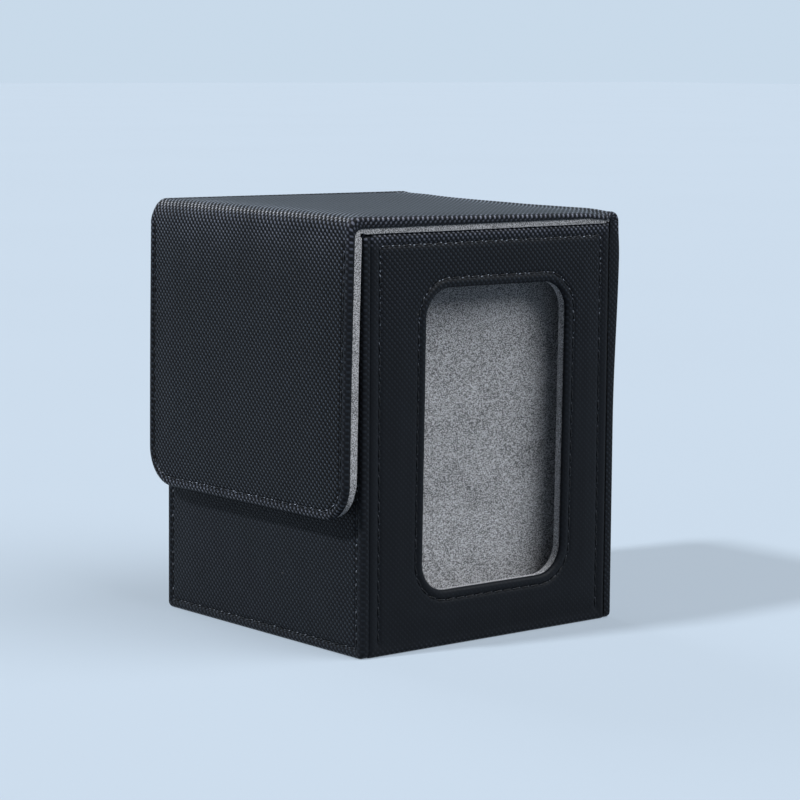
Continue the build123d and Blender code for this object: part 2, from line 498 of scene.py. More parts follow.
class StageSettings(bpy.types.PropertyGroup):
    """Camera, lamps, floor and backdrop."""

    camera_place: bpy.props.FloatVectorProperty(
        name="Camera place",
        description="Where the camera stands",
        default=(575.7 * MM, -468.7 * MM, 154.7 * MM),
        subtype="TRANSLATION",
        unit="LENGTH",
    )
    camera_aim: bpy.props.FloatVectorProperty(
        name="Camera aim",
        description="The point in the middle of the picture",
        default=(0.81 * MM, 3.49 * MM, 59.7 * MM),
        subtype="TRANSLATION",
        unit="LENGTH",
    )
    camera_roll: bpy.props.FloatProperty(
        name="Camera roll",
        description="How far the camera is tipped about its own axis",
        default=math.radians(0.35),
        subtype="ANGLE",
    )
    lens: bpy.props.FloatProperty(
        name="Lens", description="Focal length on a 36 mm sensor, in millimetres", default=121.05
    )
    key_direction: bpy.props.FloatVectorProperty(
        name="Key direction",
        description="Direction from the box to the main lamp",
        default=(-0.17, -0.98, 1.0),
        subtype="DIRECTION",
    )
    key_light: bpy.props.FloatProperty(
        name="Key light",
        description="Share of the light that the main lamp gives",
        default=0.75,
        subtype="FACTOR",
    )
    side_direction: bpy.props.FloatVectorProperty(
        name="Side direction",
        description="Direction from the box to the lamp on the window's side",
        default=(1.0, 0.55, 1.4),
        subtype="DIRECTION",
    )
    side_light: bpy.props.FloatProperty(
        name="Side light",
        description="Share of the light that the side lamp gives",
        default=0.7,
        subtype="FACTOR",
    )
    left_direction: bpy.props.FloatVectorProperty(
        name="Left direction",
        description="Direction from the box to the lamp on its closed side",
        default=(-0.77, 0.05, 0.63),
        subtype="DIRECTION",
    )
    left_light: bpy.props.FloatProperty(
        name="Left light",
        description="Share of the light that the left lamp gives",
        default=0.15,
        subtype="FACTOR",
    )
    sky_light: bpy.props.FloatProperty(
        name="Sky light",
        description="Share of the light that comes from all round",
        default=0.08,
        subtype="FACTOR",
    )
    floor_bounce: bpy.props.FloatProperty(
        name="Floor bounce",
        description="How much of its colour the floor gives back to the box as soft light",
        default=0.2,
        subtype="FACTOR",
    )
    floor_glow: bpy.props.FloatProperty(
        name="Floor glow",
        description="How much of its colour the floor shows by itself, which softens the shadow on it",
        default=0.43,
        subtype="FACTOR",
    )
    backdrop_colour: bpy.props.FloatVectorProperty(
        name="Backdrop colour",
        description="Colour behind the box",
        default=(0.582, 0.7, 0.822),
        subtype="COLOR",
    )
    floor_colour: bpy.props.FloatVectorProperty(
        name="Floor colour",
        description="Colour of the floor",
        default=(0.534, 0.632, 0.742),
        subtype="COLOR",
    )


SETTINGS = {
    "card_box_leather": LeatherSettings,
    "card_box_seams": SeamSettings,
    "card_box_linings": LiningSettings,
    "card_box_window": WindowSettings,
    "card_box_cover": CoverSettings,
    "card_box_stage": StageSettings,
}


def settings(name):
    """One group of this scene's sizes and colours."""
    return getattr(bpy.context.scene, f"card_box_{name}")


class Face:
    """The visible face of a flat piece: its place, its outline and how far a point is from its edge."""

    def __init__(self, node, across, up, low_corner=0.0, high_corner=0.0, open_ends=()):
        low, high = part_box(node)
        size = high - low
        self.across, self.up, self.out = across, up, across.cross(up)
        self.half_width = abs(size.dot(across)) / 2
        self.half_height = abs(size.dot(up)) / 2
        self.depth = abs(size.dot(self.out))
        self.middle = (low + high) / 2 + self.out * self.depth / 2
        self.corners = (low_corner, high_corner)
        self.open_ends = open_ends
        # How the pattern lies on the face: mirrored or not, where it starts and which way it runs
        self.strip = (1, 0.0, 1)
        self.hole = None
        self.warp = None

    def place(self, p, q, height):
        """The point at a place on the face and a height over it."""
        if self.warp:
            height += self.warp(p, q)
        return self.middle + self.across * p + self.up * q + self.out * height

    def open_at(self, q):
        """Whether the face runs on into the next piece at the end that a place is nearer to."""
        return (q > 0) - (q < 0) in self.open_ends

    def edge_distance(self, p, q):
        """Distance to the nearest edge that isn't an open end."""
        side = self.half_width - abs(p)
        end = FAR if self.open_at(q) else self.half_height - abs(q)
        corner = self.corners[q > 0]
        if side < corner and end < corner:
            distance = corner - math.hypot(corner - side, corner - end)
        else:
            distance = min(side, end)
        if self.hole:
            distance = min(distance, self.hole.distance(p, q))
        return distance

    def run_out(self, q):
        """How deep a seam's furrow is near an open end: 0 at the end itself and 1 further in."""
        reach = 2 * MM
        ends = [self.half_height - q * end for end in self.open_ends]
        return min((smooth(end / reach) for end in ends), default=1.0)

    def outward(self, p, q):
        """The direction in the face that leads straight out over the nearest edge."""
        step = 0.02 * MM
        run = self.edge_distance(p - step, q) - self.edge_distance(p + step, q)
        rise = self.edge_distance(p, q - step) - self.edge_distance(p, q + step)
        return Vector((run, rise, 0)).normalized()

    def pattern(self, p, q):
        """The point's place in the pattern, which runs on over the folds from piece to piece."""
        mirrored, start, direction = self.strip
        return p * mirrored, start + q * direction

    def columns(self, near, spacing):
        """Grid lines across the face."""
        return grid_lines(-self.half_width, self.half_width, spacing, near, near)

    def rows(self, near, spacing):
        """Grid lines up the face."""
        low = [0.0] if -1 in self.open_ends else near
        high = [0.0] if 1 in self.open_ends else near
        return grid_lines(-self.half_height, self.half_height, spacing, low, high)

    def round_corners(self, p, q):
        """Moves a point of a square grid so that the squares in its corner become arcs."""
        corner = self.corners[q > 0]
        across = abs(p) - (self.half_width - corner)
        rise = abs(q) - (self.half_height - corner)
        if min(across, rise) <= 0 or self.open_at(q):
            return p, q
        reach = max(across, rise)
        turn = math.pi / 4 * (rise / across if across >= rise else 2 - across / rise)
        across, rise = reach * math.cos(turn), reach * math.sin(turn)
        return (
            math.copysign(self.half_width - corner + across, p),
            math.copysign(self.half_height - corner + rise, q),
        )


class Hole:
    """A window with round corners in a face."""

    def __init__(self, middle, width, height, corner, lean):
        self.middle, self.corner, self.lean = Vector(middle), corner, lean
        self.half_width, self.half_height = width / 2, height / 2

    def shift(self, q):
        """How far the window's middle is shifted at a height."""
        return self.middle.x + self.lean * clamp((q - self.middle.y) / self.half_height, -1, 1)

    def distance(self, p, q):
        """Distance from the window's edge, outside it."""
        side = abs(p - self.shift(q)) - self.half_width + self.corner
        end = abs(q - self.middle.y) - self.half_height + self.corner
        return math.hypot(max(side, 0), max(end, 0)) + min(max(side, end), 0) - self.corner

    def loop(self, growth, steps):
        """Points round the window's outline, grown on all sides."""
        half = (self.half_width + growth, self.half_height + growth)
        points = round_loop((0, self.middle.y), half, self.corner + growth, steps)
        return [point + Vector((self.shift(point.y), 0)) for point in points]


class Run:
    """One straight or round stretch of a seam."""

    def __init__(self, start, end, centre=None):
        self.start, self.end = Vector(start), Vector(end)
        self.centre = None if centre is None else Vector(centre)
        if centre is None:
            self.length = (self.end - self.start).length
        else:
            self.radius = (self.start - self.centre).length
            first, last = self.start - self.centre, self.end - self.centre
            self.turn = math.atan2(first.x * last.y - first.y * last.x, first.dot(last))
            self.length = abs(self.turn) * self.radius

    def point(self, share):
        """The point that lies the given share of the way along."""
        if self.centre is None:
            return self.start.lerp(self.end, share)
        return self.centre + Matrix.Rotation(self.turn * share, 2) @ (self.start - self.centre)

    def heading(self, share):
        """The angle at which the seam runs there."""
        step = 0.01
        ahead = self.point(share + step) - self.point(share - step)
        return math.atan2(ahead.y, ahead.x)

    def distance(self, p, q):
        """Distance of a point from the stretch."""
        here = Vector((p, q))
        if self.centre is None:
            along = self.end - self.start
            share = clamp((here - self.start).dot(along) / along.length_squared)
            return (here - self.start - along * share).length
        away = here - self.centre
        bisector = (self.start + self.end) / 2 - self.centre
        if away.length > 0 and away.angle(bisector) <= abs(self.turn) / 2:
            return abs(away.length - self.radius)
        return min((here - self.start).length, (here - self.end).length)


def straight_runs(corners, closed=False):
    """The stretches of a seam that turns sharp corners."""
    ends = corners[1:] + corners[:1] if closed else corners[1:]
    return [Run(start, end) for start, end in zip(corners, ends)]


def round_runs(corners, radius, closed=False):
    """The stretches of a seam whose corners are arcs."""
    runs = []
    count = len(corners)
    places = [Vector(corner) for corner in corners]
    last = None if closed else places[0]
    for index in range(count) if closed else range(1, count - 1):
        corner = places[index]
        before = (places[index - 1] - corner).normalized()
        after = (places[(index + 1) % count] - corner).normalized()
        start, end = corner + before * radius, corner + after * radius
        if last is not None:
            runs.append(Run(last, start))
        runs.append(Run(start, end, corner + (before + after) * radius))
        last = end
    if closed:
        return runs + [Run(last, runs[0].start)]
    return runs + [Run(last, places[-1])]


def grid_lines(low, high, spacing, near_low, near_high):
    """Grid lines from low to high, at the given distances from both ends and evenly apart between."""
    start, end = low + near_low[-1], high - near_high[-1]
    count = max(1, round((end - start) / spacing))
    between = [mix(start, end, step / count) for step in range(1, count)]
    return [low + step for step in near_low] + between + [high - step for step in reversed(near_high)]


def round_loop(middle, half, corner, steps):
    """Points round a rectangle with round corners, the same number for any size."""
    points = []
    for quarter, (right, top) in enumerate(((1, 1), (-1, 1), (-1, -1), (1, -1))):
        centre = Vector((middle[0] + right * (half[0] - corner), middle[1] + top * (half[1] - corner)))
        for step in range(steps["corner"] + 1):
            angle = math.pi / 2 * (quarter + step / steps["corner"])
            points.append(centre + corner * Vector((math.cos(angle), math.sin(angle))))
        if quarter % 2 == 0:
            straight, span, heading = steps["across"], 2 * (half[0] - corner), Vector((-right, 0))
        else:
            straight, span, heading = steps["up"], 2 * (half[1] - corner), Vector((0, -top))
        start = points[-1]
        points += [start + heading * span * step / straight for step in range(1, straight)]
    return points


def flat_grid(columns, rows):
    """A flat grid of quads with its lines at the given places."""
    bm = bmesh.new()
    across, up = len(columns) - 1, len(rows) - 1
    bmesh.ops.create_grid(bm, x_segments=across, y_segments=up, size=1)
    for vert in bm.verts:
        column = round((vert.co.x + 1) / 2 * across)
        row = round((vert.co.y + 1) / 2 * up)
        vert.co = (columns[column], rows[row], 0)
    return bm


def panel_grid(face, near, spacing):
    """A grid over a face, with its round corners."""
    bm = flat_grid(face.columns(near, spacing), face.rows(near, spacing))
    for vert in bm.verts:
        vert.co.x, vert.co.y = face.round_corners(vert.co.x, vert.co.y)
    return bm


def window_grid(face, steps, near_hole, near_edge, between):
    """A grid that runs round a window, from its edge out to the edge of the face."""
    # How fast the corners of the rings grow rounder, away from the edge of the face
    growing_corner = 0.7
    rings = [face.hole.loop(growth, steps) for growth in near_hole]
    inner = rings[-1]
    outer = []
    for inset in near_edge:
        half = (face.half_width - inset, face.half_height - inset)
        outer.append(round_loop((0, 0), half, face.corners[0] + inset * growing_corner, steps))
    for step in range(1, between):
        rings.append([mix(a, b, step / between) for a, b in zip(inner, outer[-1])])
    rings += reversed(outer)
    count = len(rings[0])
    bm = flat_grid(list(range(count + 1)), list(range(len(rings))))
    for vert in bm.verts:
        place = rings[round(vert.co.y)][round(vert.co.x) % count]
        vert.co = (place.x, place.y, 0)
    bmesh.ops.remove_doubles(bm, verts=bm.verts[:], dist=TOUCHING)
    bm.normal_update()
    if next(iter(bm.faces)).normal.z < 0:
        bmesh.ops.reverse_faces(bm, faces=bm.faces[:])
    return bm


def leather_height(edge, seam, furrow):
    """How the leather rises and dips, from its distance to the edge and to the nearest seam."""
    look = settings("leather")
    radius = look.turned_edge
    height = 0.0
    if edge < radius:
        height = math.sqrt(max(radius**2 - (radius - edge) ** 2, 0)) - radius
    inset = settings("seams").panel_inset
    bead_middle, bead_width, padding_width = inset * 0.55, inset * 0.25, 4 * inset
    height += look.edge_bead * hump(edge - bead_middle, bead_width)
    height -= furrow * look.seam_depth * hump(seam, look.seam_spread)
    return height + look.padding * smooth((edge - inset) / padding_width)


def ripple(face, p, q, edge, seed):
    """Slow waves in the leather with shorter, lower ones on them, which fade out towards the edges."""
    long_wave, short_wave, short_share = (28 * MM, 34 * MM), (9 * MM, 11 * MM), 0.3
    calm_edge = 8 * MM
    across, along = face.pattern(p, q)
    slow = noise.noise(Vector((across / long_wave[0], along / long_wave[1], seed)))
    quick = noise.noise(Vector((across / short_wave[0], along / short_wave[1], seed + 7)))
    return settings("leather").ripple * (slow + short_share * quick) * smooth(edge / calm_edge)


def relief(face, runs, seed, rise=None):
    """A function that gives the height of the leather at a place on the face."""

    def height(p, q):
        edge = max(face.edge_distance(p, q), 0)
        seam = min((run.distance(p, q) for run in runs), default=FAR)
        extra = rise(p, q) if rise else 0.0
        furrow = face.run_out(q)
        return leather_height(edge, seam, furrow) + ripple(face, p, q, edge, seed) + extra

    return height


def edge_wear_and_sheen(face):
    """A function that tells how much rub and painted highlight the leather gets: along its upper edge,
    and a little at its foot.
    """
    from_top, top_width, foot_width, at_foot = 0.8 * MM, 1.6 * MM, 1.2 * MM, 0.2

    def wear_and_sheen(p, q):
        top = hump(face.half_height - q - from_top, top_width)
        foot = hump(face.half_height + q, foot_width)
        return max(top, at_foot * foot)

    return wear_and_sheen


def faded_weave(face, middle=None):
    """A function that tells how clear the weave is: it fades where the leather is stretched round its
    side edges, and by a given share up the face. Where it fades, so do the paler raised threads, which
    is partly painted shade.
    """
    at_edge, stretched = settings("leather").edge_weave, 4 * MM

    def clearness(p, q):
        side = smooth((face.half_width - abs(p)) / stretched)
        return mix(at_edge, 1.0, side) * (middle(q / face.half_height) if middle else 1.0)

    return clearness


def picked(items, kind):
    """The items of one kind among those that an operator has made."""
    return [item for item in items if isinstance(item, kind)]


def wrap(bm, face, height, depth=None, wear_and_sheen=None, clear=None):
    """Lifts a grid into leather, turns its edges in over the board and gives it its thickness."""
    depth = depth or (lambda p, q: face.depth)
    wear_and_sheen = wear_and_sheen or edge_wear_and_sheen(face)
    clear = clear or faded_weave(face)
    pattern = bm.loops.layers.uv.new("Pattern")
    # Rubbing with painted highlight, and how clear the weave is, kept at each point
    rub_sheen = bm.verts.layers.float.new("WearAndGlint")
    weave = bm.verts.layers.float.new("Weave")
    spots = {vert: (vert.co.x, vert.co.y) for vert in bm.verts}
    for vert, spot in spots.items():
        vert[rub_sheen], vert[weave] = wear_and_sheen(*spot), clear(*spot)
    for part in bm.faces:
        for loop in part.loops:
            loop[pattern].uv = face.pattern(*spots[loop.vert])
    at_edge = {vert for vert, spot in spots.items() if face.edge_distance(*spot) < TOUCHING}
    turned = [edge for edge in bm.edges if edge.is_boundary and set(edge.verts) <= at_edge]
    for vert, spot in spots.items():
        vert.co.z = height(*spot)
    # Two steps, each with how high over the board's lower side it ends and how far it turns in
    straight_down, tucked_under = (0.25 * MM, 0.0), (0.0, 0.12 * MM)
    for lip, inset in (straight_down, tucked_under):
        made = bmesh.ops.extrude_edge_only(bm, edges=turned)["geom"]
        turned = picked(made, bmesh.types.BMEdge)
        for vert in picked(made, bmesh.types.BMVert):
            out = face.outward(vert.co.x, vert.co.y)
            floor = lip - depth(vert.co.x, vert.co.y)
            fall = vert.co.z - floor
            vert.co = Vector((vert.co.x, vert.co.y, floor)) - out * inset
            vert[rub_sheen] = 0
            for loop in vert.link_loops:
                base = loop[pattern].uv
                step = Vector(face.pattern(out.x * fall, out.y * fall)) - Vector(face.pattern(0, 0))
                loop[pattern].uv = base + step
    bmesh.ops.recalc_face_normals(bm, faces=bm.faces[:])
    bm.normal_update()
    bmesh.ops.solidify(bm, geom=bm.faces[:], thickness=settings("leather").thickness)


def to_place(bm, face, bend=None):
    """Moves a flat piece to its place, or bends it round a fold first."""
    for vert in bm.verts:
        p, q, height = vert.co
        vert.co = bend(p, q, height) if bend else face.place(p, q, height)


def meshed(bm, name, finish, sharp=40):
    """An object made of a mesh, with its material. Edges that turn by more degrees look sharp."""
    mesh = bpy.data.meshes.new(name)
    bm.normal_update()
    bm.to_mesh(mesh)
    bm.free()
    mesh.materials.append(finish)
    mesh.shade_smooth()
    mesh.set_sharp_from_angle(angle=math.radians(sharp))
    piece = bpy.data.objects.new(name, mesh)
    bpy.context.scene.collection.objects.link(piece)
    return piece


def finished(bm, name, finish, body, slot, nodes, **shading):
    """A piece of a mesh, tied to the body it rides on, with the nodes it stands for hidden."""
    piece = meshed(bm, name, finish, **shading)
    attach(piece, body)
    if nodes:
        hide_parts(*nodes)


def rounded(bm, edges, radius, segments):
    """Rounds edges off."""
    bmesh.ops.bevel(
        bm,
        geom=edges,
        offset=radius,
        offset_type="OFFSET",
        segments=segments,
        profile=0.5,
        material=-1,
        affect="EDGES",
    )


def slab(bm, thickness, soft_edge, wave=0.0, seed=0):
    """Thickens a grid into a soft board with rounded upper edges, its upper face at height 0."""
    wave_across, wave_up = 20 * MM, 23 * MM
    for vert in bm.verts:
        vert.co.z = -thickness
    made = bmesh.ops.extrude_face_region(bm, geom=bm.faces[:])["geom"]
    for vert in picked(made, bmesh.types.BMVert):
        vert.co.z = 0
    bmesh.ops.recalc_face_normals(bm, faces=bm.faces[:])
    bm.normal_update()
    rim = [
        edge
        for edge in bm.edges
        if all(vert.co.z == 0 for vert in edge.verts) and edge.calc_face_angle(0) > SHARP_TURN
    ]
    rounded(bm, rim, soft_edge, 3)
    for vert in bm.verts:
        share = (vert.co.z + thickness) / thickness
        swell = noise.noise(Vector((vert.co.x / wave_across, vert.co.y / wave_up, seed)))
        vert.co.z += wave * swell * share


def add_node(tree, kind, sockets=None, **values):
    """A node with its values, and with numbers or other nodes' outputs on its sockets."""
    made = tree.nodes.new(kind)
    for name, value in values.items():
        setattr(made, name, value)
    for name, value in (sockets or {}).items():
        if isinstance(value, bpy.types.NodeSocket):
            tree.links.new(value, made.inputs[name])
        else:
            made.inputs[name].default_value = value
    return made


def maths(tree, operation, first, second=0.0, held=False):
    """The result of one sum on one or two values, held between 0 and 1 where asked."""
    made = add_node(
        tree, "ShaderNodeMath", {0: first, 1: second}, operation=operation, use_clamp=held
    )
    return made.outputs[0]


def ranged(tree, value, low, high, to_low, to_high):
    """A value carried from one range to another."""
    sockets = {"Value": value, "From Min": low, "From Max": high, "To Min": to_low, "To Max": to_high}
    return add_node(tree, "ShaderNodeMapRange", sockets).outputs["Result"]


def spread(tree, cloudy, low, high):
    """Noise, most of which lies between 0.3 and 0.7, carried to another range."""
    return ranged(tree, cloudy, 0.3, 0.7, low, high)


# The sockets of a Mix node that carry colours
FIRST_COLOUR, SECOND_COLOUR, MIXED_COLOUR = 6, 7, 2


def blended(tree, share, first, second):
    """A colour between two others."""
    made = add_node(tree, "ShaderNodeMix", {"Factor": share}, data_type="RGBA")
    for number, value in ((FIRST_COLOUR, first), (SECOND_COLOUR, second)):
        socket = made.inputs[number]
        if isinstance(value, bpy.types.NodeSocket):
            tree.links.new(value, socket)
        else:
            socket.default_value = (*value, 1)
    return made.outputs[MIXED_COLOUR]


def new_group(name, inputs, outputs):
    """An empty shader node group with its sockets, and its input and output nodes."""
    group = bpy.data.node_groups.new(name, "ShaderNodeTree")
    for socket, kind in inputs.items():
        group.interface.new_socket(name=socket, in_out="INPUT", socket_type=kind)
    for socket, kind in outputs.items():
        group.interface.new_socket(name=socket, in_out="OUTPUT", socket_type=kind)
    return group, group.nodes.new("NodeGroupInput"), group.nodes.new("NodeGroupOutput")


VECTOR, NUMBER = "NodeSocketVector", "NodeSocketFloat"


def weave_group():
    """Plain weave: threads that pass over and under each other in a checkerboard."""
    group, taken, given = new_group(
        "Plain weave",
        {"Vector": VECTOR, "Thread spacing": NUMBER, "Unevenness": NUMBER, "Slant": NUMBER},
        {"Height": NUMBER, "Raised": NUMBER},
    )
    waves_per_metre, fullness, low_threads = 450.0, 0.75, 0.42
    wander = add_node(
        group,
        "ShaderNodeTexNoise",
        {"Vector": taken.outputs["Vector"], "Scale": waves_per_metre, "Detail": 2.0},
    )
    centred = add_node(
        group,
        "ShaderNodeVectorMath",
        {0: wander.outputs["Color"], 1: (0.5, 0.5, 0.5)},
        operation="SUBTRACT",
    )
    shift = maths(group, "MULTIPLY", taken.outputs["Unevenness"], taken.outputs["Thread spacing"])
    moved = add_node(
        group,
        "ShaderNodeVectorMath",
        {0: centred.outputs[0], "Scale": shift},
        operation="SCALE",
    )
    place = add_node(
        group,
        "ShaderNodeVectorMath",
        {0: taken.outputs["Vector"], 1: moved.outputs[0]},
        operation="ADD",
    )
    parts = add_node(group, "ShaderNodeSeparateXYZ", {0: place.outputs[0]})
    turns = maths(group, "DIVIDE", math.pi, taken.outputs["Thread spacing"])
    angles = [maths(group, "MULTIPLY", parts.outputs[axis], turns) for axis in ("X", "Y")]
    square = maths(group, "MULTIPLY", *[maths(group, "SINE", angle) for angle in angles])
    across = maths(group, "COSINE", maths(group, "ADD", *angles))
    slanting = maths(group, "MULTIPLY", across, maths(group, "MULTIPLY", taken.outputs["Slant"], -1.0))
    crossing = maths(
        group,
        "DIVIDE",
        maths(group, "ADD", square, slanting),
        maths(group, "ADD", taken.outputs["Slant"], 1.0),
    )
    crossed = maths(group, "MULTIPLY", crossing, -1.0)
    over, under = (
        maths(group, "POWER", maths(group, "MAXIMUM", thread, 0.0), fullness)
        for thread in (crossing, crossed)
    )
    height = maths(group, "ADD", over, maths(group, "MULTIPLY", under, low_threads))
    group.links.new(height, given.inputs["Height"])
    group.links.new(over, given.inputs["Raised"])
    return group


def grain_group():
    """Fine grain: the small pits and the soft clouds of a pressed or moulded skin."""
    group, taken, given = new_group(
        "Fine grain",
        {"Vector": VECTOR, "Grain size": NUMBER, "Cloud size": NUMBER},
        {"Height": NUMBER, "Clouds": NUMBER},
    )
    per_grain = maths(group, "DIVIDE", 1.0, taken.outputs["Grain size"])
    per_cloud = maths(group, "DIVIDE", 1.0, taken.outputs["Cloud size"])
    fine = add_node(
        group,
        "ShaderNodeTexNoise",
        {"Vector": taken.outputs["Vector"], "Scale": per_grain, "Detail": 4.0, "Roughness": 0.6},
    )
    clouds = add_node(
        group,
        "ShaderNodeTexNoise",
        {"Vector": taken.outputs["Vector"], "Scale": per_cloud, "Detail": 3.0},
    )
    group.links.new(fine.outputs["Fac"], given.inputs["Height"])
    group.links.new(clouds.outputs["Fac"], given.inputs["Clouds"])
    return group


def dust_group():
    """Dust: a few small pale specks of lint."""
    group, taken, given = new_group(
        "Lint specks", {"Vector": VECTOR, "Spacing": NUMBER}, {"Specks": NUMBER}
    )
    scale = maths(group, "DIVIDE", 1.0, taken.outputs["Spacing"])
    cells = add_node(
        group,
        "ShaderNodeTexVoronoi",
        {"Vector": taken.outputs["Vector"], "Scale": scale},
        feature="F1",
    )
    core, rim, empty_cells = 0.012, 0.028, 0.75
    near = ranged(group, cells.outputs["Distance"], core, rim, 1.0, 0.0)
    lot = add_node(group, "ShaderNodeSeparateColor", {0: cells.outputs["Color"]}).outputs[0]
    rare = maths(group, "GREATER_THAN", lot, empty_cells)
    group.links.new(maths(group, "MULTIPLY", near, rare), given.inputs["Specks"])
    return group


def wear_and_sheen_group():
    """Rubbing and painted highlight: raised threads that are painted paler and made glossier, in uneven
    clouds.
    """
    group, taken, given = new_group(
        "Edge wear", {"WearAndGlint": NUMBER, "Raised": NUMBER, "Clouds": NUMBER}, {"RubSheen": NUMBER}
    )
    patchy = spread(group, taken.outputs["Clouds"], 0.6, 1.3)
    rubbed_and_lit = maths(group, "MULTIPLY", taken.outputs["WearAndGlint"], patchy)
    tops = maths(group, "POWER", taken.outputs["Raised"], 1.5)
    rub_sheen = maths(group, "MULTIPLY", rubbed_and_lit, tops, held=True)
    group.links.new(rub_sheen, given.inputs["RubSheen"])
    return group


GROUPS = {}


def effect(tree, name, sockets):
    """One of the shared effects, placed in a material with its own values."""
    makers = {"weave": weave_group, "grain": grain_group, "dust": dust_group, "wear_and_sheen": wear_and_sheen_group}
    if name not in GROUPS:
        GROUPS[name] = makers[name]()
    return add_node(tree, "ShaderNodeGroup", sockets, node_tree=GROUPS[name]).outputs


def new_material(name):
    """An empty node material and its output."""
    made = bpy.data.materials.new(name)
    made.use_nodes = True
    tree = made.node_tree
    tree.nodes.clear()
    return made, tree, tree.nodes.new("ShaderNodeOutputMaterial")


def shaded(tree, end, sockets):
    """Gives a material its surface."""
    shader = add_node(tree, "ShaderNodeBsdfPrincipled", sockets)
    tree.links.new(shader.outputs[0], end.inputs["Surface"])


def on_object(tree):
    """Where a point lies on the object."""
    return add_node(tree, "ShaderNodeTexCoord").outputs["Object"]


def on_pattern(tree):
    """Where a point lies in the pattern that follows the surface."""
    return add_node(tree, "ShaderNodeUVMap", uv_map="Pattern").outputs["UV"]


def painted(tree, name):
    """A value that is kept at each point of the mesh."""
    return add_node(tree, "ShaderNodeAttribute", attribute_name=name).outputs["Fac"]


def grained(tree, place, grain_size, cloud_size):
    """The grain effect at a place, with its two sizes."""
    return effect(tree, "grain", {"Vector": place, "Grain size": grain_size, "Cloud size": cloud_size})


def bump(tree, height, distance, strength=1.0, normal=None):
    """The normal of a surface with that relief."""
    sockets = {"Height": height, "Distance": distance, "Strength": strength}
    if normal is not None:
        sockets["Normal"] = normal
    return add_node(tree, "ShaderNodeBump", sockets).outputs["Normal"]


def brighter(colour, factor):
    """A colour made lighter or darker."""
    return tuple(channel * factor for channel in colour)


MATERIALS = {}


def material(name):
    """A finish by name, made the first time it is asked for."""
    makers = {
        "woven leather": woven_leather,
        "sewing thread": sewing_thread,
        "microfibre": microfibre,
        "greyboard": greyboard,
        "fold foam": fold_foam,
        "magnet metal": magnet_metal,
    }
    if name not in MATERIALS:
        MATERIALS[name] = makers[name]()
    return MATERIALS[name]


def woven_leather():
    """Black leather whose pressed threads are painted paler, partly as a painted highlight, and are
    glossier than the ground between them.
    """
    look = settings("leather")
    made, tree, end = new_material("Woven leather")
    place = on_object(tree)
    clear = painted(tree, "Weave")
    weave = effect(
        tree,
        "weave",
        {
            "Vector": on_pattern(tree),
            "Thread spacing": look.thread_spacing,
            "Unevenness": 0.3,
            "Slant": look.thread_slant,
        },
    )
    # Where the leather is stretched flat, it has one even shade and height
    flat_shade, flat_height = 0.13, 0.5
    raised = ranged(tree, clear, 0.0, 1.0, flat_shade, weave["Raised"])
    height = ranged(tree, clear, 0.0, 1.0, flat_height, weave["Height"])
    grain = grained(tree, place, 0.12 * MM, 9 * MM)
    dust = effect(tree, "dust", {"Vector": place, "Spacing": 11 * MM})
    rubbed_and_lit = {"WearAndGlint": painted(tree, "WearAndGlint"), "Raised": weave["Raised"], "Clouds": grain["Clouds"]}
    rub_sheen = effect(tree, "wear_and_sheen", rubbed_and_lit)["RubSheen"]
    cloudy = maths(tree, "MULTIPLY", raised, spread(tree, grain["Clouds"], 0.85, 1.1))
    plain = blended(tree, cloudy, look.ground_colour, look.thread_sheen_colour)
    # Painted highlight as well as rubbing: the raised threads are painted pale where folds and edges
    # rub and catch the light
    rubbed_sheen_colour = blended(tree, rub_sheen, plain, look.worn_sheen_colour)
    specks = maths(tree, "MULTIPLY", dust["Specks"], 0.3)
    gloss = maths(tree, "MULTIPLY", raised, look.thread_shine)
    shaded(
        tree,
        end,
        {
            "Base Color": blended(tree, specks, rubbed_sheen_colour, (0.3, 0.3, 0.3)),
            "Roughness": ranged(tree, raised, 0.0, 1.0, 0.5, 0.3),
            "Normal": bump(
                tree, grain["Height"], 0.012 * MM, normal=bump(tree, height, look.weave_depth)
            ),
            "Specular IOR Level": 0.06,
            "Coat Weight": maths(tree, "ADD", gloss, rub_sheen, held=True),
            "Coat Roughness": 0.3,
        },
    )
    return made


def sewing_thread():
    """Black polyester thread with its twisted plies, and a painted highlight on its ends where it dips
    into its holes.
    """
    look = settings("seams")
    made, tree, end = new_material("Sewing thread")
    pattern = on_pattern(tree)
    plies = add_node(
        tree,
        "ShaderNodeTexWave",
        {"Vector": pattern, "Scale": 1.6, "Distortion": 0.4},
        wave_type="BANDS",
        bands_direction="DIAGONAL",
    ).outputs["Fac"]
    grain = grained(tree, on_object(tree), 0.06 * MM, 1.2 * MM)
    along = add_node(tree, "ShaderNodeSeparateXYZ", {0: pattern}).outputs["Y"]
    off_middle = maths(tree, "ABSOLUTE", maths(tree, "SUBTRACT", along, 0.5))
    ends = ranged(tree, off_middle, 0.16, 0.3, 0.0, 1.0)
    patchy = ranged(tree, grain["Clouds"], 0.42, 0.56, 0.0, 1.0)
    caught = maths(tree, "MULTIPLY", ends, patchy)
    # Painted highlight: the glint colour is painted on the ends of the stitches
    glint = maths(tree, "MULTIPLY", caught, painted(tree, "WearAndGlint"), held=True)
    plain = blended(tree, plies, brighter(look.colour, 0.5), brighter(look.colour, 1.8))
    shaded(
        tree,
        end,
        {
            "Base Color": blended(tree, glint, plain, look.glint_colour),
            "Roughness": spread(tree, grain["Height"], 0.4, 0.55),
            "Normal": bump(tree, plies, 0.05 * MM),
            "Specular IOR Level": 0.25,
        },
    )
    return made


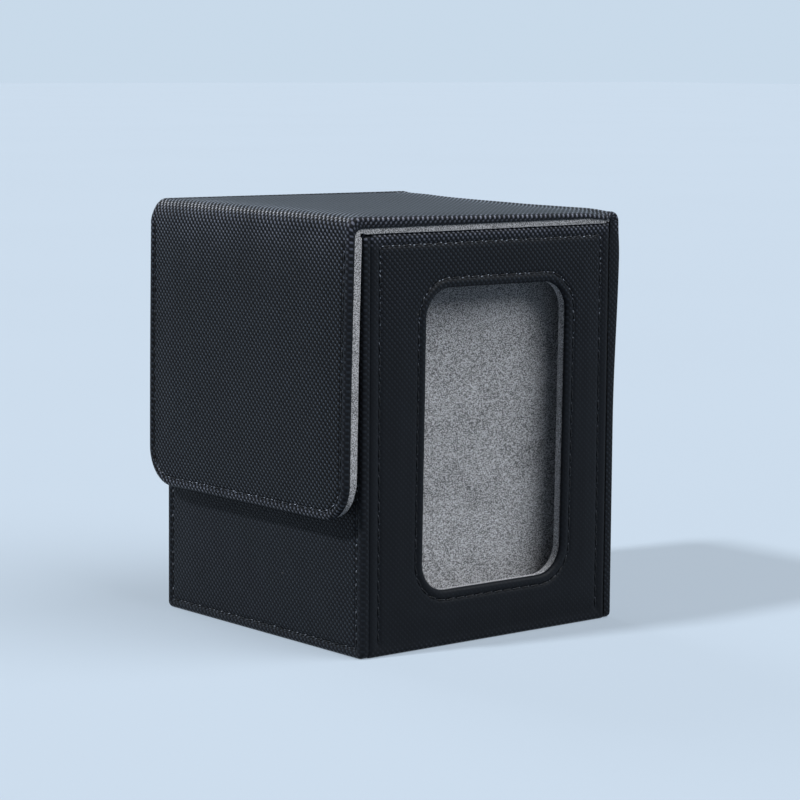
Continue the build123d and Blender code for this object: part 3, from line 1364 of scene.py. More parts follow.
def microfibre():
    """Grey lining with a short brushed pile."""
    look = settings("linings")
    made, tree, end = new_material("Microfibre lining")
    place = on_object(tree)
    brushed = add_node(tree, "ShaderNodeMapping", {"Vector": place, "Scale": (1.0, 0.6, 1.0)})
    pile = grained(tree, brushed.outputs[0], 0.245 * MM, 9 * MM)
    fibre = grained(tree, place, 0.16 * MM, 2.2 * MM)
    dust = effect(tree, "dust", {"Vector": place, "Spacing": 9 * MM})
    tufts = ranged(tree, pile["Height"], 0.45, 0.55, 0.0, 0.8)
    patches = maths(
        tree, "ADD", spread(tree, fibre["Clouds"], 0.0, 0.08), spread(tree, pile["Clouds"], 0.0, 0.14)
    )
    colour = blended(tree, maths(tree, "ADD", tufts, patches), look.dark, look.light)
    specks = maths(tree, "MULTIPLY", dust["Specks"], 0.4)
    soft = bump(tree, pile["Height"], 0.1 * MM, 0.8)
    shaded(
        tree,
        end,
        {
            "Base Color": blended(tree, specks, colour, (0.75, 0.75, 0.75)),
            "Roughness": spread(tree, fibre["Height"], 0.88, 0.98),
            "Normal": bump(tree, fibre["Height"], 0.05 * MM, 0.7, soft),
            "Specular IOR Level": 0.15,
            "Sheen Weight": 0.12,
            "Sheen Roughness": 0.6,
        },
    )
    return made


def plain_material(name, sizes, dark, light, roughness, depth):
    """A material of two tones, whose colour follows its grain and whose gloss follows its clouds."""
    made, tree, end = new_material(name)
    grain = grained(tree, on_object(tree), *sizes)
    shaded(
        tree,
        end,
        {
            "Base Color": blended(tree, grain["Height"], dark, light),
            "Roughness": spread(tree, grain["Clouds"], *roughness),
            "Normal": bump(tree, grain["Height"], depth),
        },
    )
    return made


def greyboard():
    """Pressed grey board with its paper fibres."""
    dark, light = (0.34, 0.32, 0.29), (0.5, 0.48, 0.45)
    return plain_material("Greyboard", (0.4 * MM, 5 * MM), dark, light, (0.85, 0.95), 0.05 * MM)


def fold_foam():
    """Thin black foam with fine cells."""
    dark, light = (0.02, 0.02, 0.022), (0.06, 0.06, 0.064)
    return plain_material("Fold foam", (0.25 * MM, 3 * MM), dark, light, (0.8, 0.92), 0.08 * MM)


def magnet_metal():
    """Nickel plate with faint clouds and fine scratches."""
    made, tree, end = new_material("Magnet metal")
    film = grained(tree, on_object(tree), 0.1 * MM, 4 * MM)
    shaded(
        tree,
        end,
        {
            "Base Color": blended(tree, film["Clouds"], (0.52, 0.51, 0.49), (0.66, 0.65, 0.63)),
            "Metallic": 1.0,
            "Roughness": spread(tree, film["Height"], 0.2, 0.34),
            "Normal": bump(tree, film["Height"], 0.004 * MM),
        },
    )
    return made


def edge_runs(face, inset):
    """The seam round all four edges of a panel."""
    across, up = face.half_width - inset, face.half_height - inset
    return straight_runs([(-across, -up), (across, -up), (across, up), (-across, up)], closed=True)


def fold_radius(node):
    """Radius of the quarter turn that a fold's outer leather makes."""
    low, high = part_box(node)
    return high.z - low.z


def cover_faces():
    """Flap, lid and back, with a pattern that runs from the flap over the lid and down the back."""
    cover = settings("cover")
    flap = Face("flap_skin", RIGHT, UP, low_corner=cover.flap_corner, open_ends=(1,))
    lid = Face("lid_skin", RIGHT, INWARD, open_ends=(-1, 1))
    back = Face("back_skin", LEFT, UP, low_corner=cover.panel_corner, open_ends=(1,))
    quarter = math.pi / 2
    front_fold = fold_radius("front_fold_skin") * quarter
    rear_fold = fold_radius("rear_fold_skin") * quarter
    flap.warp = flap_flare(flap)
    flap.strip = (1, -flap.half_height, 1)
    lid.strip = (1, front_fold + lid.half_height, 1)
    back.strip = (-1, pattern_end(lid) + rear_fold + back.half_height, -1)
    return flap, lid, back


def pattern_end(face):
    """How far along its pattern a face ends."""
    return face.pattern(0, face.half_height)[1]


def lid_rise(face):
    """How far the padded lid stands up: most along its left edge, least at its right rear corner."""
    cover, droop_width = settings("cover"), 5 * MM

    def rise(p, q):
        across = clamp(p / face.half_width / 2 + 0.5)
        along = q / face.half_height / 2 + 0.5
        left = mix(cover.left_front_rise, cover.left_rear_rise, along)
        right = mix(cover.right_front_rise, cover.right_rear_rise, along)
        fall = 1 - (1 - across) ** mix(1, cover.rear_hollow, along)
        away = math.hypot(face.half_width - p, face.half_height - q)
        return mix(left, right, fall) - cover.corner_droop * hump(away, droop_width)

    return rise


def sunk_board(rise):
    """How far the board's upper side sinks under leather that dips."""
    gap = 0.1 * MM
    return min(rise - gap, 0)


def pressed_board(sunk):
    """How far the board's lower side is pressed into the lining, once the board gives no more."""
    give = 1.1 * MM
    return min(sunk + give, 0)


def lid_lip(face):
    """How far the lid's leather reaches down over its lining: further where the lid dips deep."""
    rise, lip, deep = lid_rise(face), settings("cover").lid_lip, 1.35 * MM

    def reach(p, q):
        return lip + max(-deep - rise(p, q), 0)

    return reach


def flap_flare(face):
    """How far the flap stands off: more and more towards its lower edge, less at its left."""
    flare, left_share, curve = settings("cover").flap_flare, 0.6, 1.6

    def stand_off(p, q, right=1):
        down = clamp((face.half_height - q) / (2 * face.half_height))
        across = right * p / face.half_width / 2 + 0.5
        return flare * mix(left_share, 1, across) * (1 - (1 - down) ** curve)

    return stand_off


def flap_wear_and_sheen(face):
    """How much rub and painted highlight the flap gets: at its corners and lower edge, and where it
    runs into the fold.
    """
    rub, from_edge, width = settings("cover").fold_rub, 1.4 * MM, 1.5 * MM
    at_edge, at_fold, lowest = 0.8, 0.75, 0.8

    def wear_and_sheen(p, q):
        edge = hump(face.edge_distance(p, q) - from_edge, width)
        low = smooth((-q / face.half_height - lowest) / (1 - lowest))
        return max(at_edge * edge * low, at_fold * fading(face.half_height - q, rub))

    return wear_and_sheen


def lid_wear_and_sheen(face):
    """How much rub and painted highlight the lid gets: along its side edges, and where it runs into the
    folds.
    """
    rub, width = settings("cover").fold_rub, 1.2 * MM
    at_edge, at_fold = 0.9, 0.6

    def wear_and_sheen(p, q):
        edge = hump(face.edge_distance(p, q), width)
        return max(at_edge * edge, at_fold * fading(face.half_height - abs(q), rub))

    return wear_and_sheen


def lid_weave(face):
    """How clear the lid's weave is: clear at its folds and side edges only."""
    plain, fold_reach, side_reach = settings("cover").lid_weave, 4 * MM, 3 * MM
    at_side, at_corner = 0.7, 0.4

    # The paler raised threads, partly painted highlight, show only where the weave stays clear: at the
    # folds and side edges.
    def clearness(p, q):
        inset = face.half_width - abs(p)
        fold = fading(face.half_height - abs(q), fold_reach)
        fold *= mix(at_corner, 1.0, smooth(inset / MM))
        side = fading(inset, side_reach) * smooth(inset / MM - 0.4)
        return mix(plain, 1.0, max(fold, at_side * side))

    return clearness


def back_flare(face):
    """How far the back leather stands off: most below the rear fold, less at its foot and left."""
    cover = settings("cover")
    # Where, as a share of the upper half, the leather begins to come back in, and by what share
    turn, drawn_in = 0.82, 0.35

    def stand_off(p, q):
        height = q / face.half_height
        most = smooth(height * 1.1) * (1 - drawn_in * smooth((height - turn) / (1 - turn)))
        flat = cover.left_flatness * smooth(p / face.half_width)
        return (cover.back_fullness + cover.back_flare * most) * (1 - flat)

    return stand_off


def flap_seams(face):
    """The seam down both sides of the flap and round its lower corners."""
    inset = settings("seams").panel_inset
    across, up = face.half_width - inset, face.half_height
    corners = [(-across, up), (-across, inset - up), (across, inset - up), (across, up)]
    return round_runs(corners, settings("cover").flap_corner - inset)


def lid_seams(face):
    """The seams along both sides of the lid."""
    across = face.half_width - settings("seams").panel_inset
    up = face.half_height
    return [Run((side * across, -up), (side * across, up)) for side in (-1, 1)]


def back_seams(face):
    """The seam down both sides of the back and along its lower edge."""
    inset = settings("seams").panel_inset
    across, up = face.half_width - inset, face.half_height - inset
    return straight_runs([(-across, up), (-across, -up), (across, -up), (across, up)])


def window_face():
    """The face of the window wall and its hole."""
    window = settings("window")
    face = Face("window_skin", INWARD, UP, low_corner=TIGHT_CORNER, high_corner=TIGHT_CORNER)
    face.hole = Hole((window.shift, 0), window.width, window.height, window.corner, window.lean)
    return face


def window_seams(face):
    """The seams along three edges of the window wall, and the ring round the window."""
    sewn = settings("seams")
    across, up = face.half_width - sewn.window_inset, face.half_height - sewn.window_inset
    edge = straight_runs([(-across, -up), (-across, up), (across, up), (across, -up)])
    hole, reach = face.hole, sewn.ring_distance
    side, end = hole.half_width + reach, hole.half_height + reach
    low, high = hole.middle.y - end, hole.middle.y + end
    corners = [
        (hole.shift(low) - side, low),
        (hole.shift(low) + side, low),
        (hole.shift(high) + side, high),
        (hole.shift(high) - side, high),
    ]
    return edge, round_runs(corners, hole.corner + reach, closed=True)


# How much painted glint the stitches get where they catch the least light
LEAST_GLINT = 0.12


def upper_glint(face):
    """How much painted glint the stitches get: most near the top of a wall."""

    def glint(p, q):
        return mix(LEAST_GLINT, 1.0, smooth(1.4 * q / face.half_height - 0.3))

    return glint


def lower_glint(face):
    """How much painted glint the stitches get: most along the lower edge."""

    def glint(p, q):
        return mix(LEAST_GLINT, 1.0, smooth(-4 * q / face.half_height - 3))

    return glint


def even_glint(p, q):
    """How much painted glint the stitches of an evenly lit wall get."""
    return 0.5


def sew(name, face, runs, height, body, node, seed, glint):
    """Stitches along every stretch of a seam, each a little different from the next."""
    look = settings("seams")
    draw = random.Random(seed)
    bm = bmesh.new()
    bm.loops.layers.uv.new("Pattern")
    # Each stitch's painted glint, kept in the same layer as the leather's rubbing and painted highlight
    rubbed_and_lit = bm.verts.layers.float.new("WearAndGlint")
    axes = Matrix((face.across, face.up, face.out)).transposed().to_4x4()
    lying_down = Matrix.Rotation(math.pi / 2, 4, "Y")
    for run in runs:
        count = max(1, round(run.length / look.pitch))
        for step in range(count):
            share = (step + 0.5 + draw.gauss(0, 0.02)) / count
            spot = run.point(share)
            turn = run.heading(share) + look.slant + draw.gauss(0, math.radians(2.5))
            lift = height(*spot) + look.lift + draw.gauss(0, 0.02 * MM)
            length = look.length * draw.uniform(0.94, 1.05)
            shape = Matrix.Diagonal((look.width, look.width * 0.8, length, 1))
            lying = Matrix.Rotation(turn, 4, "Z") @ lying_down
            place = Matrix.Translation(face.place(*spot, lift))
            made = bmesh.ops.create_uvsphere(
                bm,
                u_segments=8,
                v_segments=6,
                radius=0.5,
                matrix=place @ axes @ lying @ shape,
                calc_uvs=True,
            )
            for vert in made["verts"]:
                vert[rubbed_and_lit] = glint(*spot)
    finished(bm, name, material("sewing thread"), body, "sewing_thread", [node], sharp=80)


def cover_panel(name, face, runs, height, body, seed, glint, **finish):
    """Leather over one panel, and the stitches in it."""
    bm = panel_grid(face, LEATHER_LINES, LEATHER_SPACING)
    wrap(bm, face, height, **finish)
    to_place(bm, face)
    leather = material("woven leather")
    finished(bm, f"{name}_leather", leather, body, "outer_leather", [f"{name}_skin"])
    if runs:
        sew(f"{name}_stitches", face, runs, height, body, f"{name}_stitching", seed, glint)


class CARDBOX_OT_cover_walls(bpy.types.Operator):
    """Cover the front, the closed side, the back and the base with leather"""

    bl_idname = "card_box.cover_walls"
    bl_label = "Leather on the Walls"

    def execute(self, context):
        inset = settings("seams").panel_inset
        corner = settings("cover").panel_corner
        front = Face("front_skin", RIGHT, UP, low_corner=corner, high_corner=corner)
        side = Face("side_skin", OUTWARD, UP, low_corner=TIGHT_CORNER, high_corner=TIGHT_CORNER)
        base = Face("base_skin", RIGHT, OUTWARD, low_corner=TIGHT_CORNER, high_corner=TIGHT_CORNER)
        back = cover_faces()[-1]
        spread_out, at_foot = settings("cover").foot_spread, settings("leather").foot_weave
        # The base is hollow, so that the box stands on its edges
        hollow = -1.5 * settings("leather").padding

        def foot(p, q):
            return spread_out * (0.5 - 0.5 * q / side.half_height) ** 1.5

        def sole(p, q):
            return hollow * smooth(base.edge_distance(p, q) / (1.5 * MM))

        # The front's weave fades towards its foot: partly painted shade under the flap
        def faint(level):
            return mix(at_foot, 1.0, smooth(0.5 + 0.5 * level))

        walls = (
            ("front", front, edge_runs(front, inset), foot, faint, even_glint),
            ("side", side, edge_runs(side, inset), foot, None, upper_glint(side)),
            ("back", back, back_seams(back), back_flare(back), None, upper_glint(back)),
            ("base", base, [], sole, None, None),
        )
        for number, (name, face, runs, rise, fade, glint) in enumerate(walls):
            height = relief(face, runs, number * 11 + 3, rise)
            clear = faded_weave(face, fade)
            cover_panel(name, face, runs, height, "box", number + 1, glint, clear=clear)
        return {"FINISHED"}


class CARDBOX_OT_cover_window_wall(bpy.types.Operator):
    """Cover the window wall with leather that is turned in round the window"""

    bl_idname = "card_box.cover_window_wall"
    bl_label = "Leather on the Window Wall"

    def execute(self, context):
        window = settings("window")
        face = window_face()
        edge, ring = window_seams(face)
        height = relief(face, edge + ring, seed=51)
        steps = {"corner": 12, "across": 20, "up": 36}
        bm = window_grid(face, steps, RING_LINES, WINDOW_LINES, between=5)

        # The weave fades fast below the top: plainer and darker towards the foot, partly painted shade,
        # and partly painted highlight at the top
        def faint(level):
            return mix(window.low_weave, window.top_weave, smooth(0.5 + 0.5 * level) ** 5)

        wrap(bm, face, height, clear=faded_weave(face, faint))
        to_place(bm, face)
        leather = material("woven leather")
        finished(bm, "window_leather", leather, "box", "outer_leather", ["window_skin"])
        for name, runs, seed in (("edge", edge, 21), ("ring", ring, 22)):
            node, glint = f"window_{name}_stitching", upper_glint(face)
            sew(f"window_{name}_stitches", face, runs, height, "box", node, seed, glint)
        return {"FINISHED"}


class CARDBOX_OT_cover_lid_and_flap(bpy.types.Operator):
    """Cover the lid and the flap with leather"""

    bl_idname = "card_box.cover_lid_and_flap"
    bl_label = "Leather on the Lid and Flap"

    def execute(self, context):
        flap, lid, _ = cover_faces()
        flap_lip, lip = settings("cover").flap_lip, lid_lip(lid)
        flap_finish = {
            "depth": lambda p, q: flap.depth - flap_lip,
            "wear_and_sheen": flap_wear_and_sheen(flap),
            "clear": faded_weave(flap),
        }
        lid_finish = {
            "depth": lambda p, q: lid.depth + lip(p, q),
            "wear_and_sheen": lid_wear_and_sheen(lid),
            "clear": lid_weave(lid),
        }
        covers = (
            ("flap", flap, flap_seams(flap), None, lower_glint(flap), flap_finish),
            ("lid", lid, lid_seams(lid), lid_rise(lid), upper_glint(lid), lid_finish),
        )
        for seed, (name, face, runs, rise, glint, finish) in enumerate(covers, 31):
            height = relief(face, runs, COVER_SEED, rise)
            cover_panel(name, face, runs, height, name, seed, glint, **finish)
        return {"FINISHED"}


class Fold:
    """One living hinge: the quarter turn from one panel to the next."""

    def __init__(self, name, centre, start, strip_start, ends, lips, fullness, narrowing=0.0):
        node = f"{name}_fold_skin"
        self.name, self.centre = name, centre
        self.start, self.turned = start, LEFT.cross(start)
        self.radius = fold_radius(node)
        self.face = Face(node, RIGHT, INWARD, open_ends=(-1, 1))
        self.face.half_height = self.radius * math.pi / 4
        self.face.depth = board_depth()
        self.face.strip = (1, strip_start + self.face.half_height, 1)
        self.ends, self.lips = ends, lips
        self.fullness, self.narrowing = fullness, narrowing

    def share(self, q):
        """How far round the fold a place lies, from 0 to 1."""
        return q / (2 * self.face.half_height) + 0.5

    def rows(self):
        """Grid lines round the fold."""
        return self.face.rows([0.0], self.radius / 8)

    def rise(self, p, q):
        """The leather passes smoothly from one panel's height to the next's and bulges between."""
        share = self.share(q)
        between = mix(self.ends[0](p), self.ends[1](p), smooth(share))
        return between + self.fullness(p) * math.sin(math.pi * share) ** 2

    def wear_and_sheen(self, p, q):
        """The fold gets rub and painted highlight all over, most at the middle of its turn."""
        all_over, more = 0.58, 0.2
        return all_over + more * math.sin(math.pi * self.share(q))

    def depth(self, p, q):
        """How deep the turned edge reaches, from one panel's to the next's."""
        return self.face.depth + mix(self.lips[0](p), self.lips[1](p), smooth(self.share(q)))

    def bend(self, depth=0.0):
        """A function that bends a flat strip round the fold, the given depth under its leather."""
        # The part of the half width over which the left end draws in
        pinched_end = 1 / 8

        def place(p, q, height):
            share = self.share(q)
            angle = share * math.pi / 2
            radius = self.radius - depth + height
            pinch = settings("cover").left_pinch * math.sin(math.pi * share)
            left = smooth((-p / self.face.half_width - 1) / pinched_end + 1)
            across = p * (1 - self.narrowing * smooth(share)) + pinch * left
            out = self.start * math.cos(angle) + self.turned * math.sin(angle)
            return self.centre + RIGHT * across + out * radius

        return place


def board_depth():
    """Depth of a covered board: its leather and the board itself."""
    low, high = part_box("lid_skin")
    return high.z - low.z


def folds():
    """The front fold between flap and lid, and the rear fold between lid and box."""
    cover = settings("cover")
    _, lid, back = cover_faces()
    front_low, rear_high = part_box("front_fold_skin")[0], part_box("rear_fold_skin")[1]
    front_reach, rear_reach = fold_radius("front_fold_skin"), fold_radius("rear_fold_skin")
    rise, lip, stand_off = lid_rise(lid), lid_lip(lid), back_flare(back)
    rear_lip, rear_fullness = -0.3 * MM, 0.15 * MM

    def front_fullness(p):
        return mix(cover.left_fullness, cover.right_fullness, smooth(p / lid.half_width / 2 + 0.5))

    front = Fold(
        "front",
        Vector((0, front_low.y + front_reach, front_low.z)),
        OUTWARD,
        0.0,
        ends=(lambda p: 0.0, lambda p: rise(p, -lid.half_height)),
        lips=(lambda p: -cover.flap_lip, lambda p: lip(p, -lid.half_height)),
        fullness=front_fullness,
    )
    rear = Fold(
        "rear",
        Vector((0, rear_high.y - rear_reach, rear_high.z - rear_reach)),
        UP,
        pattern_end(lid),
        ends=(lambda p: rise(p, lid.half_height), lambda p: stand_off(-p, back.half_height)),
        lips=(lambda p: lip(p, lid.half_height), lambda p: rear_lip),
        fullness=lambda p: rear_fullness,
        narrowing=1 - back.half_width / lid.half_width,
    )
    return front, rear


class CARDBOX_OT_make_folds(bpy.types.Operator):
    """Bend the leather, foam and lining of both folds"""

    bl_idname = "card_box.make_folds"
    bl_label = "Folds"

    def execute(self, context):
        front, rear = folds()
        low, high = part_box("lid_lining")
        lining = high.z - low.z
        self.make_fold(front, ("flap", "lid"), lining)
        self.make_fold(rear, ("lid", "box"), lining / 2)
        return {"FINISHED"}

    def make_fold(self, fold, bodies, lining):
        """The leather of a fold, with its foam core and its lining under it."""
        face, leather = fold.face, settings("leather").thickness
        bm = flat_grid(face.columns(LEATHER_LINES, LEATHER_SPACING), fold.rows())
        wrap(bm, face, relief(face, [], COVER_SEED, fold.rise), fold.depth, fold.wear_and_sheen)
        to_place(bm, face, fold.bend())
        self.finish_layer(bm, fold, "leather", bodies, 0.0)
        self.add_layer(fold, "core", bodies, leather, face.depth - leather, inset=leather)
        self.add_layer(fold, "lining", bodies, face.depth, lining, inset=0.4 * MM)

    def add_layer(self, fold, kind, bodies, depth, thickness, inset):
        """One layer under the leather, as a flat strip bent round the fold."""
        face = fold.face
        half = face.half_width - inset
        soft_edge, edge_slope, thinnest = 0.4 * MM, 0.6, 0.3 * MM
        near = millimetres(0, 0.25, 0.6)
        bm = flat_grid(grid_lines(-half, half, LINING_SPACING, near, near), fold.rows())
        for vert in bm.verts:
            vert.co.z = self.top(fold, kind, vert.co.x, vert.co.y, half)
        made = bmesh.ops.extrude_face_region(bm, geom=bm.faces[:])["geom"]
        for vert in picked(made, bmesh.types.BMVert):
            edge = half - abs(vert.co.x)
            low = -thickness + max(soft_edge - edge, 0) * edge_slope
            sunk = pressed_board(sunk_board(fold.rise(vert.co.x, vert.co.y)))
            vert.co.z = low + sunk if kind == "core" else min(low, sunk - thinnest)
        bmesh.ops.recalc_face_normals(bm, faces=bm.faces[:])
        to_place(bm, face, fold.bend(depth))
        self.finish_layer(bm, fold, kind, bodies, depth)

    def top(self, fold, kind, p, q, half):
        """Where the upper side of a layer lies: under the leather, or pressed down with the board."""
        sunk, end_strip = sunk_board(fold.rise(p, q)), 0.3 * MM
        if kind == "core":
            return sunk
        if half - abs(p) < end_strip:
            return max(fold.face.depth - fold.depth(p, q), 0) + pressed_board(sunk)
        return pressed_board(sunk)

    def finish_layer(self, bm, fold, kind, bodies, depth):
        """Makes the piece, bakes its place into its mesh and hides the part it stands for."""
        finish, slot, layer = {
            "leather": ("woven leather", "outer_leather", "skin"),
            "core": ("fold foam", "fold_foam", "core"),
            "lining": ("microfibre", "lining_microfibre", "lining"),
        }[kind]
        piece = meshed(bm, f"{fold.name}_fold_{kind}", material(finish))
        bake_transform(piece)
        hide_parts(f"{fold.name}_fold_{layer}")


def finish_pile(bm, name, body, nodes):
    """Makes a piece of lining, ties it to its body and hides the nodes it stands for."""
    finished(bm, name, material("microfibre"), body, "lining_microfibre", nodes)


class CARDBOX_OT_line_box(bpy.types.Operator):
    """Lay the soft linings inside the walls, the base, the lid and the flap"""

    bl_idname = "card_box.line_box"
    bl_label = "Linings"

    def execute(self, context):
        look, cover = settings("linings"), settings("cover")
        flap_inset = 0.4 * MM
        corner = cover.flap_corner - flap_inset
        faces = (
            ("front", Face("front_lining", LEFT, UP), "box"),
            ("back", Face("back_lining", RIGHT, UP), "box"),
            ("side", Face("side_lining", INWARD, UP), "box"),
            ("base", Face("base_lining", RIGHT, INWARD), "box"),
            ("lid", Face("lid_lining", LEFT, INWARD), "lid"),
            ("flap", Face("flap_lining", LEFT, UP, low_corner=corner), "flap"),
        )
        for number, (name, face, body) in enumerate(faces):
            near = FLAP_LINING_LINES if name == "flap" else LINING_LINES
            bm = panel_grid(face, near, LINING_SPACING)
            slab(bm, face.depth, look.soft_edge, look.wave, seed=number * 5 + 2)
            if name in ("lid", "flap"):
                self.swell(bm, face, cover.lining_swell)
            if name == "lid":
                self.press(bm, face)
            if name == "flap":
                self.follow_flap(bm, face, cover.flap_lip)
            to_place(bm, face)
            finish_pile(bm, f"{name}_lining_pile", body, [f"{name}_lining"])
        return {"FINISHED"}

    def swell(self, bm, face, rise):
        """The soft lining swells at its visible face and droops a little over its edge."""
        droop, droop_width = 0.45 * MM, 0.5 * MM
        for vert in bm.verts:
            share = vert.co.z / face.depth + 1
            edge = face.half_width - abs(vert.co.x)
            vert.co.z += (rise + droop * (1 - smooth(edge / droop_width))) * share

    def press(self, bm, face):
        """The lid's lining is pressed down where the lid dips."""
        rise = lid_rise(cover_faces()[1])
        for vert in bm.verts:
            pressed = pressed_board(sunk_board(rise(-vert.co.x, vert.co.y)))
            vert.co.z -= pressed * clamp(-vert.co.z / face.depth)

    def follow_flap(self, bm, face, lip):
        """The flap's lining stands off with the flap and reaches out to the edge of its leather."""
        flare, edge_strip = flap_flare(face), 0.55 * MM
        face.warp = lambda p, q: -flare(p, q, right=-1)
        for vert in bm.verts:
            edge = face.edge_distance(vert.co.x, vert.co.y)
            if vert.co.z < -0.95 * face.depth and edge < edge_strip:
                vert.co.z -= lip


class CARDBOX_OT_make_pocket(bpy.types.Operator):
    """Build the padded rim behind the window and the partition of the display pocket"""

    bl_idname = "card_box.make_pocket"
    bl_label = "Display Pocket"

    def execute(self, context):
        look = settings("linings")
        self.add_rim(look)
        for name, across in (("face", INWARD), ("back", OUTWARD)):
            face = Face(f"pocket_{name}", across, UP)
            bm = panel_grid(face, LINING_LINES, 2.5 * MM)
            slab(bm, face.depth, 0.4 * MM, look.wave, seed=71)
            to_place(bm, face)
            finish_pile(bm, f"pocket_{name}_pile", "box", [f"pocket_{name}"])
        self.add_top()
        return {"FINISHED"}

    def add_rim(self, look):
        """The padded lining that frames the window from behind."""
        window = settings("window")
        gap = window.rim_set_back
        rim = Face("window_rim", INWARD, UP, low_corner=TIGHT_CORNER, high_corner=TIGHT_CORNER)
        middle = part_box("window_skin")[1].z / 2 - rim.middle.z
        rim.hole = Hole(
            (window.shift, middle),
            window.width + 2 * gap,
            window.height + 2 * gap,
            window.corner + gap,
            window.lean,
        )
        steps = {"corner": 10, "across": 16, "up": 26}
        near_hole, near_edge = millimetres(0, 0.9, 2, 3.4), millimetres(0, 1.2)
        bm = window_grid(rim, steps, near_hole, near_edge, between=4)
        slab(bm, rim.depth, look.rim_edge, look.wave, seed=61)
        to_place(bm, rim)
        finish_pile(bm, "window_rim_pad", "box", ["window_rim"])

    def add_top(self):
        """The lining that is laid over the upper edge of the partition."""
        thickness, end_gap, overlap = 0.7 * MM, 0.1 * MM, 0.05 * MM
        face = Face("pocket_board", RIGHT, INWARD)
        low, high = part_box("pocket_back")[0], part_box("pocket_face")[1]
        face.half_width = (high.x - low.x) / 2
        face.half_height -= end_gap
        face.middle += face.out * (thickness - overlap)
        columns = face.columns(millimetres(0, 0.8), 0.8 * MM)
        bm = flat_grid(columns, face.rows(millimetres(0, 1.2), 2.5 * MM))
        slab(bm, thickness, 0.5 * MM)
        to_place(bm, face)
        finish_pile(bm, "pocket_top_pile", "box", [])


class CARDBOX_OT_finish_boards(bpy.types.Operator):
    """Fit the boards of lid and flap to their soft covers, and finish all boards and magnets"""

    bl_idname = "card_box.finish_boards"
    bl_label = "Boards and Magnets"

    def execute(self, context):
        corner = settings("cover").flap_corner - settings("leather").thickness
        rise = lid_rise(cover_faces()[1])
        lid_board = Face("lid_board", RIGHT, INWARD)
        flap_board = Face("flap_board", RIGHT, UP, low_corner=corner)
        flap_board.half_width -= 0.3 * MM
        flap_board.warp = flap_flare(flap_board)

        def sink(p, q, height):
            sunk = sunk_board(rise(p, q))
            return mix(pressed_board(sunk), sunk, 1 + height / lid_board.depth)

        self.add_board("lid", lid_board, sink)
        self.add_board("flap", flap_board)
        self.add_flap_magnets(flap_board)
        self.finish_nodes()
        return {"FINISHED"}

    def add_board(self, body, board, sink=None):
        """The stiff board of the lid or the flap, which sinks where its leather dips."""
        bm = panel_grid(board, BOARD_LINES, BOARD_SPACING)
        slab(bm, board.depth, 0.2 * MM)
        if sink:
            for vert in bm.verts:
                vert.co.z += sink(*vert.co)
        to_place(bm, board)
        name, finish = f"{body}_stiffener", material("greyboard")
        finished(bm, name, finish, body, "greyboard", [f"{body}_board"])

    def add_flap_magnets(self, board):
        """The two disc magnets in the flap, which stand off with its board."""
        low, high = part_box("flap_magnets")
        radius = (high.z - low.z) / 2
        middle = (low + high) / 2
        bm = bmesh.new()
        for side in (low.x + radius, high.x - radius):
            drop = board.warp(0, middle.z - board.middle.z)
            spot = Vector((side, middle.y - drop, middle.z))
            bmesh.ops.create_cone(
                bm,
                cap_ends=True,
                segments=48,
                radius1=radius,
                radius2=radius,
                depth=high.y - low.y,
                matrix=Matrix.Translation(spot) @ Matrix.Rotation(math.pi / 2, 4, "X"),
            )
        rims = [edge for edge in bm.edges if edge.calc_face_angle(0) > SHARP_TURN]
        rounded(bm, rims, 0.15 * MM, 2)
        metal = material("magnet metal")
        finished(bm, "flap_magnet_pair", metal, "flap", "magnet_metal", ["flap_magnets"], sharp=30)

    def finish_nodes(self):
        """The boards and magnets that stay as they are."""
        finishes = {"_board": "greyboard", "_magnets": "magnet metal"}
        for name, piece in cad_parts.items():
            for ending, finish in finishes.items():
                if name.endswith(ending):
                    for place in piece.material_slots:
                        place.link = "OBJECT"
                        place.material = material(finish)


def seen_directly(tree):
    """1 for what the camera sees, also in a reflection or through glass, and 0 for soft light."""
    path = add_node(tree, "ShaderNodeLightPath").outputs
    seen = maths(tree, "MAXIMUM", path["Is Camera Ray"], path["Is Glossy Ray"])
    return maths(tree, "MAXIMUM", seen, path["Is Transmission Ray"])


